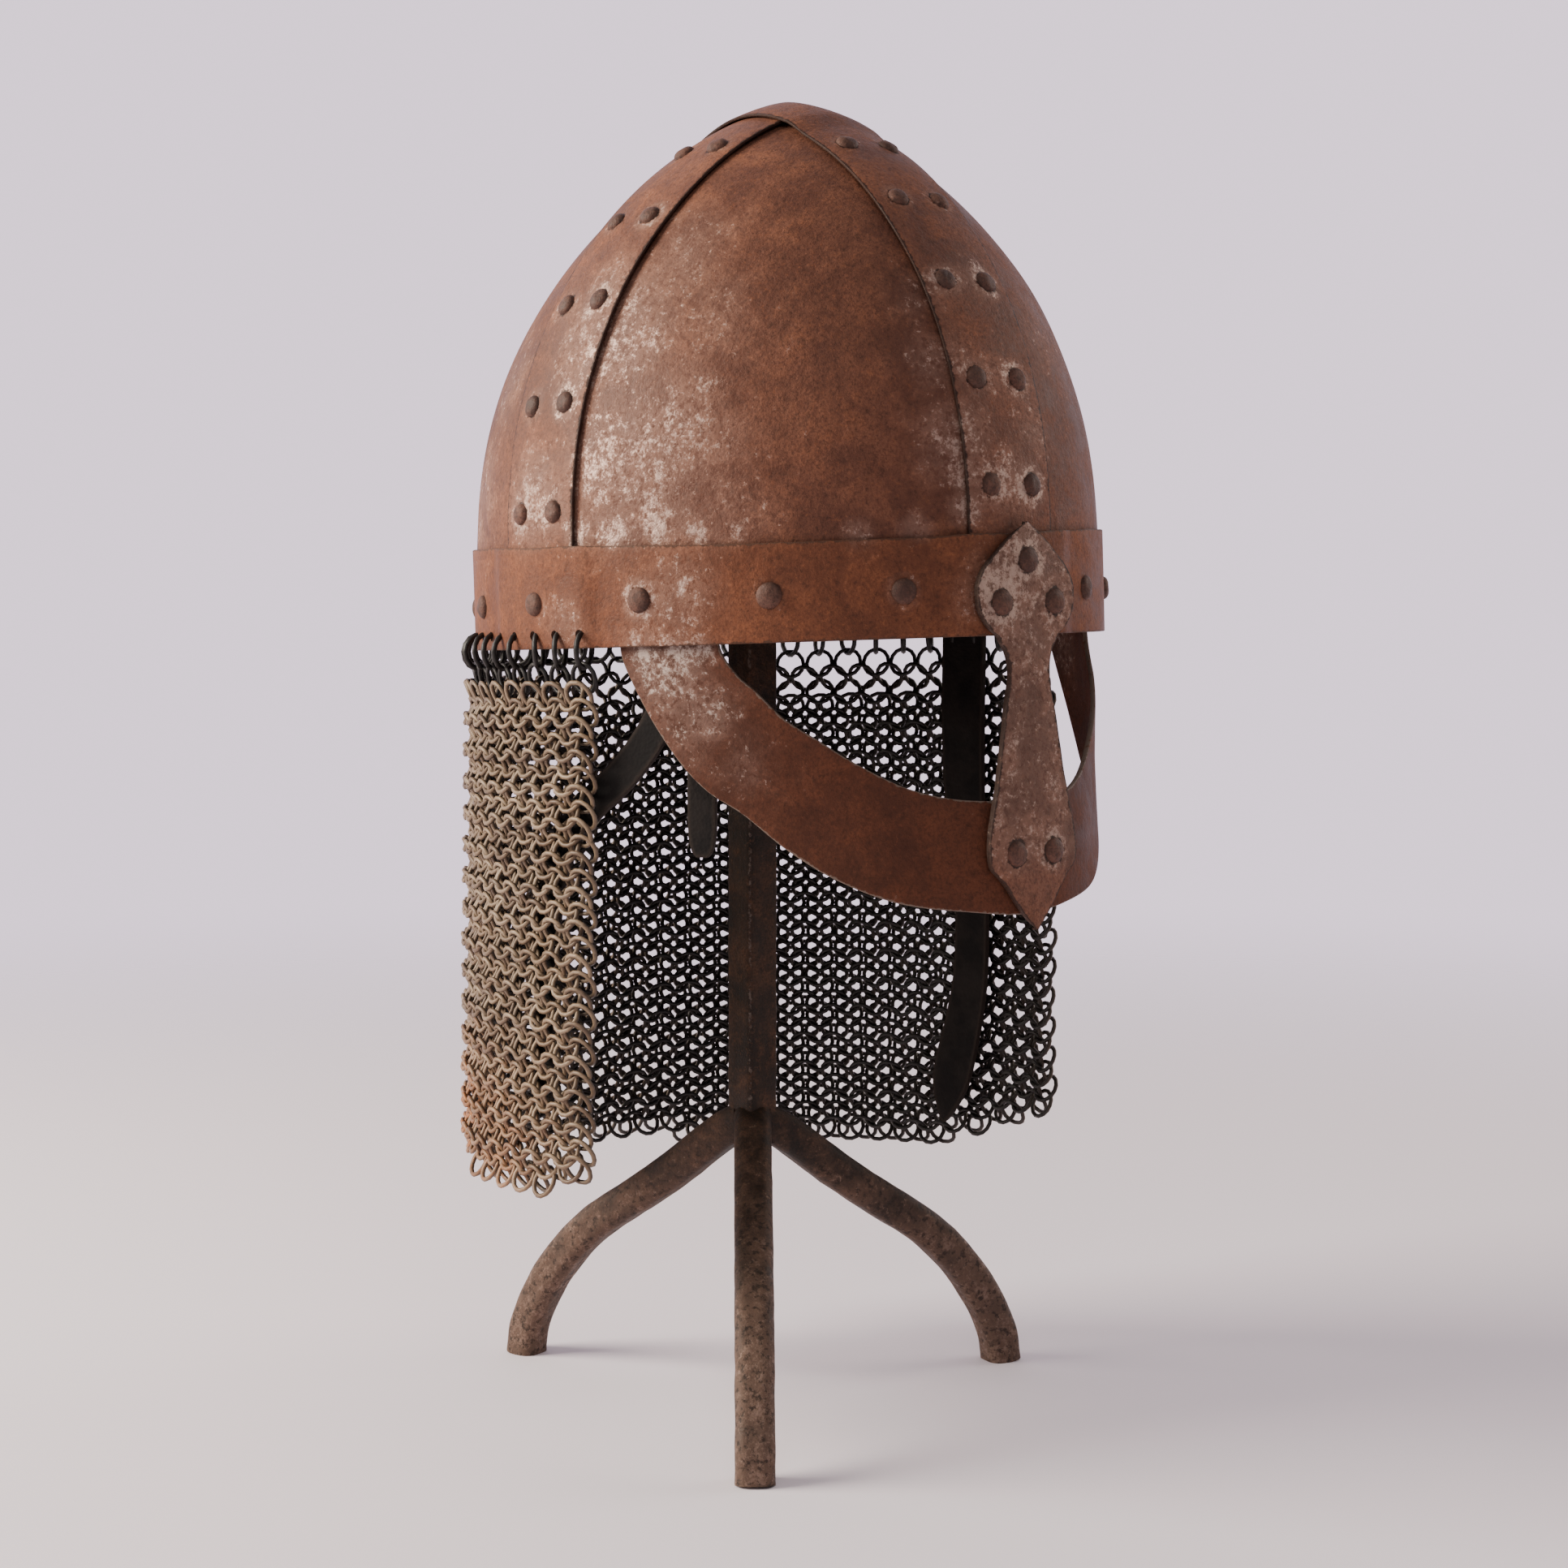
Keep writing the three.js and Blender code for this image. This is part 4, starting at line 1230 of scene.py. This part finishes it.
# Straps: rows of angle, share of the drop, share of the width, and set inward in millimetres
straps = {
    "grid": (110, 10),
    "slack": 1.2 * mm,
    "soften": 0.5 * mm,
    "long": {"drop": 180 * mm, "width": 17 * mm, "rows": [
        (262, -0.11, 1.15, 0), (262, 0.02, 1.15, 0), (262, 0.15, 1.15, -0.4), (262.5, 0.3, 1.1, -0.8),
        (264, 0.45, 0.96, -1.2), (265, 0.57, 0.92, -1.4), (264.5, 0.7, 0.94, -1.4), (262.5, 0.8, 0.98, -1.2),
        (260, 0.89, 1, -1), (258.8, 0.94, 0.78, -1), (258, 0.985, 0.3, -1), (257.6, 1, 0.06, -1)]},
    "short": {"drop": 150 * mm, "width": 11 * mm, "rows": [
        (61, -0.1, 1, -1.5), (63, 0.06, 1, -1.5), (67, 0.17, 1, -1.7), (73, 0.26, 1, -1.6),
        (79.5, 0.325, 1, -1), (86, 0.4, 1, -0.6), (90, 0.5, 1, -0.5), (92, 0.64, 1, -0.5),
        (93, 0.82, 1, -0.5), (93, 0.94, 0.9, -0.5), (93, 0.99, 0.5, -0.5), (93, 1, 0.2, -0.5)]},
    "tab": {"drop": 65 * mm, "width": 10 * mm, "rows": [
        (58.4, -0.2, 1, -4), (58.4, 0.1, 1, -4), (58.4, 0.5, 1, -4.2), (58.4, 0.85, 1, -4.6),
        (58.4, 0.96, 0.78, -4.6), (58.4, 1, 0.4, -4.6)]},
}


def makeStrap(label):
    rows = straps[label]["rows"]
    drop = straps[label]["drop"]
    width = straps[label]["width"]
    outer = -sheets["panelWall"] - straps["slack"]

    def line(u):
        angle, share, wide, setIn = readRows(rows, u).T
        middle = np.stack([np.radians(angle) * halfLength, -share * drop], 1)
        return middle, np.clip(wide, 0.05, 1.2), setIn

    def place(u, v):
        middle, wide, setIn = line(u)
        ahead = line(np.clip(u + 0.01, 0, 1))[0]
        behind = line(np.clip(u - 0.01, 0, 1))[0]
        along = ahead - behind
        along /= np.linalg.norm(along, axis=1, keepdims=True)
        reach = (v - 0.5) * width * wide
        across = middle[:, 0] - along[:, 1] * reach
        z = middle[:, 1] + along[:, 0] * reach
        return uprightToRow(onWall(np.degrees(across / halfLength), z, outer + setIn * mm))
    piece = laySheet("strap_" + label, *straps["grid"], place, sheets["strapWall"], soften=straps["soften"])
    return finishPiece(piece, strapLeather, "leather", "chin_strap_" + label)


for label in ("long", "short", "tab"):
    makeStrap(label)
print("straps made")


# Stand: square bars swept along their middle lines, and a cap under the skull
stand = {
    "bar": 13 * mm,
    "postEdge": 1.9 * mm,
    "legEdge": 4.2 * mm,
    "rustTop": 175 * mm,
    "rustGain": 1.1,
    "worn": 0.8,
    "uneven": 7 * mm,
    "unevenDepth": 0.25 * mm,
    "in": 0.1 * mm,
    "postFoot": 89 * mm,
    "postUnder": 8 * mm,
    "capRadius": 22 * mm,
    "capFoot": 412.9 * mm,
    "capUnder": 2 * mm,
    "footRadius": 101 * mm,
    "legRise": 97 * mm,
    "legAngles": [38.8, 163.4, 282.9],
    "postBack": (3.5 * mm, -14.7 * mm),
    "postRows": 70,
    "postMiddle": (0.2, 0.3),
    "legRows": [
        (0.02, 1), (0.12, 0.945), (0.33, 0.78), (0.5, 0.66), (0.62, 0.58), (0.72, 0.5), (0.81, 0.405),
        (0.885, 0.305), (0.945, 0.2), (0.985, 0.1), (1, 0)],
}
postPlace = np.array([brimCentre[0] - stand["postBack"][0], brimCentre[1] - stand["postBack"][1], 0])


# The square bar's section with rounded corners
def barOutline(soft):
    inner = stand["bar"] / 2 - soft
    arcs = []
    for quarter, (x, y) in enumerate(((1, 1), (-1, 1), (-1, -1), (1, -1))):
        angle = np.radians(90 * quarter + 18 * np.arange(6))
        arcs.append(np.stack([inner * x + soft * np.cos(angle), inner * y + soft * np.sin(angle)], 1))
    outline = []
    for quarter, arc in enumerate(arcs):
        ahead = arcs[(quarter + 1) % 4][0]
        outline += [arc, arc[-1] + np.array([[0.25], [0.5], [0.75]]) * (ahead - arc[-1])]
    return np.concatenate(outline)


def sweepBar(name, centres, sideways, soft, rows=64):
    key = np.linspace(0, 1, rows)
    line = readRows(centres, key)
    ahead = readRows(centres, np.clip(key + 0.01, 0, 1)) - readRows(centres, np.clip(key - 0.01, 0, 1))
    along = ahead / np.linalg.norm(ahead, axis=1, keepdims=True)
    upward = np.cross(sideways, along)
    outline = barOutline(soft)
    stacked = np.concatenate([centre + outline[:, :1] * sideways + outline[:, 1:] * up
                              for centre, up in zip(line, upward)])
    count = len(outline)
    faces = []
    for i in range(rows - 1):
        for j in range(count):
            a = i * count + j
            b = i * count + (j + 1) % count
            faces.append((a, b, b + count, a + count))
    faces += [tuple(range(count))[::-1], tuple(range((rows - 1) * count, rows * count))]
    piece = newPiece(name, stacked, faces)
    across = np.abs(np.tile(outline, (rows, 1)))
    corner = (stand["bar"] / 2 - across.min(axis=1)) / mm
    setAttribute(piece, "rim", corner * stand["worn"])
    rusty = smooth(10 * mm, stand["rustTop"], stacked[:, 2])
    setAttribute(piece, "bare", stand["rustGain"] * (1 - rusty))
    inEdit(piece, lambda: bpy.ops.mesh.normals_make_consistent(inside=False))
    points = readPoints(piece)
    away = points - line[np.repeat(np.arange(rows), count)]
    away /= np.maximum(np.linalg.norm(away, axis=1, keepdims=True), 1e-6)
    rough = bumps(points, stand["uneven"], stand["unevenDepth"], 2.2) - stand["in"]
    rough = np.where(points[:, 2] < 0.5 * mm, 0, rough)
    points = points + away * rough[:, None]
    points[:, 2] = np.maximum(points[:, 2], 0)
    writePoints(piece, points)
    smoothShading(piece, 50)
    return piece


def makeStand():
    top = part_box("tripod_stand")[1][2] - stand["postUnder"]
    heights = (stand["postFoot"], *stand["postMiddle"], top)
    post = sweepBar("stand_post", [postPlace + [0, 0, height] for height in heights],
                    np.array([1.0, 0, 0]), stand["postEdge"], stand["postRows"])
    bars = []
    for angle in stand["legAngles"]:
        away = np.array([-math.sin(math.radians(angle)), -math.cos(math.radians(angle)), 0])
        centres = [postPlace + away * reach * stand["footRadius"] + [0, 0, rise * stand["legRise"]]
                   for reach, rise in stand["legRows"]]
        bars.append(sweepBar("leg", centres, np.array([away[1], -away[0], 0]), stand["legEdge"]))
    return finishPiece(joinPieces(post, bars), standIron, "stand_iron")


standBars = makeStand()


# The cap's upper side follows the skull's inside, and its under side is flat.
def makeCap():
    deselectAll()
    bpy.ops.mesh.primitive_uv_sphere_add(segments=48, ring_count=24, radius=1)
    cap = bpy.context.object
    cap.name = cap.data.name = "stand_cap"
    points = readPoints(cap)
    foot = stand["capFoot"]
    level = points * np.array([1, 1, 0]) * stand["capRadius"] + postPlace + np.array([0, 0, foot])
    inner = rowToHelmet(level)
    inner[:, 1] -= domeLean(inner[:, 2])
    lifted = cast(inner, np.broadcast_to(np.array([0.0, 0, 1]), inner.shape))
    lifted -= skullNormal(lifted) * stand["capUnder"]
    level[:, 2] = np.maximum(np.where(points[:, 2] > 0.02, helmetToRow(lifted)[:, 2], foot), foot)
    writePoints(cap, level)
    setAttribute(cap, "rim", np.full(len(points), 1.0))
    setAttribute(cap, "bare", np.zeros(len(points)))
    finishPiece(cap, standIron, "stand_iron")
    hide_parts("tripod_stand")


makeCap()
print("stand made")


# Floor, background light, and lamps with place, size, power and colour
studio = {
    "floorRadius": 2,
    "floorColor": (0.86, 0.79, 0.84),
    "floorRough": 0.85,
    "floorShine": 0.2,
    "fadeFrom": 0.45,
    "fadeTo": 1.6,
    "bright": (1.47, 1.23, 1.46),
    "dim": (0.3, 0.28, 0.3),
    "backdrop": (0.64, 0.768, 0),
    "backdropEdge": (0.4, 0.88),
    "aim": (0, 0, 0.25),
    "lamps": [
        ((-1.3, 0.9, 0.95), 1.0, 68, (1, 0.91, 0.79)),
        ((-1.1, -1.3, 1.5), 1.0, 7, (1, 0.97, 0.94)),
        ((1.35, -0.5, 0.9), 0.8, 9, (1, 0.9, 0.8)),
    ],
}


# The paper fades out into the background, so no line shows behind the helmet.
def makeFloor():
    deselectAll()
    bpy.ops.mesh.primitive_circle_add(
        vertices=96, radius=studio["floorRadius"], fill_type="NGON", location=(0, 0, 0))
    floor = bpy.context.object
    floor.name = "floor"
    material, tree, shader = newMaterial("floorPaper")
    place = tree.add("ShaderNodeTexCoord").outputs["Object"]
    reach = tree.add("ShaderNodeVectorMath", {0: place}, operation="LENGTH").outputs["Value"]
    faded = tree.ramp(reach, studio["fadeFrom"], studio["fadeTo"])
    tree.put(shader.inputs["Alpha"], tree.inverse(faded))
    shader.inputs["Base Color"].default_value = (*studio["floorColor"], 1)
    shader.inputs["Roughness"].default_value = studio["floorRough"]
    shader.inputs["Specular IOR Level"].default_value = studio["floorShine"]
    floor.data.materials.append(material)


def addLamp(place, size, power, colour):
    deselectAll()
    bpy.ops.object.light_add(type="AREA", location=place)
    lamp = bpy.context.object
    lamp.data.size = size
    lamp.data.energy = power
    lamp.data.color = colour
    aim = Vector(studio["aim"]) - Vector(place)
    lamp.rotation_euler = aim.to_track_quat("-Z", "Y").to_euler()


def makeWorld():
    world = bpy.data.worlds.new("studioWorld")
    bpy.context.scene.world = world
    world.use_nodes = True
    tree = Tree(world.node_tree)
    facing = tree.add("ShaderNodeTexCoord").outputs["Generated"]
    toBackdrop = tree.add(
        "ShaderNodeVectorMath", {0: facing, 1: studio["backdrop"]}, operation="DOT_PRODUCT")
    share = tree.ramp(toBackdrop.outputs["Value"], *studio["backdropEdge"])
    colour = tree.mix(share, (*studio["dim"], 1), (*studio["bright"], 1))
    tree.put(world.node_tree.nodes["Background"].inputs["Color"], colour)


makeFloor()
makeWorld()
for place, size, power, colour in studio["lamps"]:
    addLamp(place, size, power, colour)
print("studio lit")
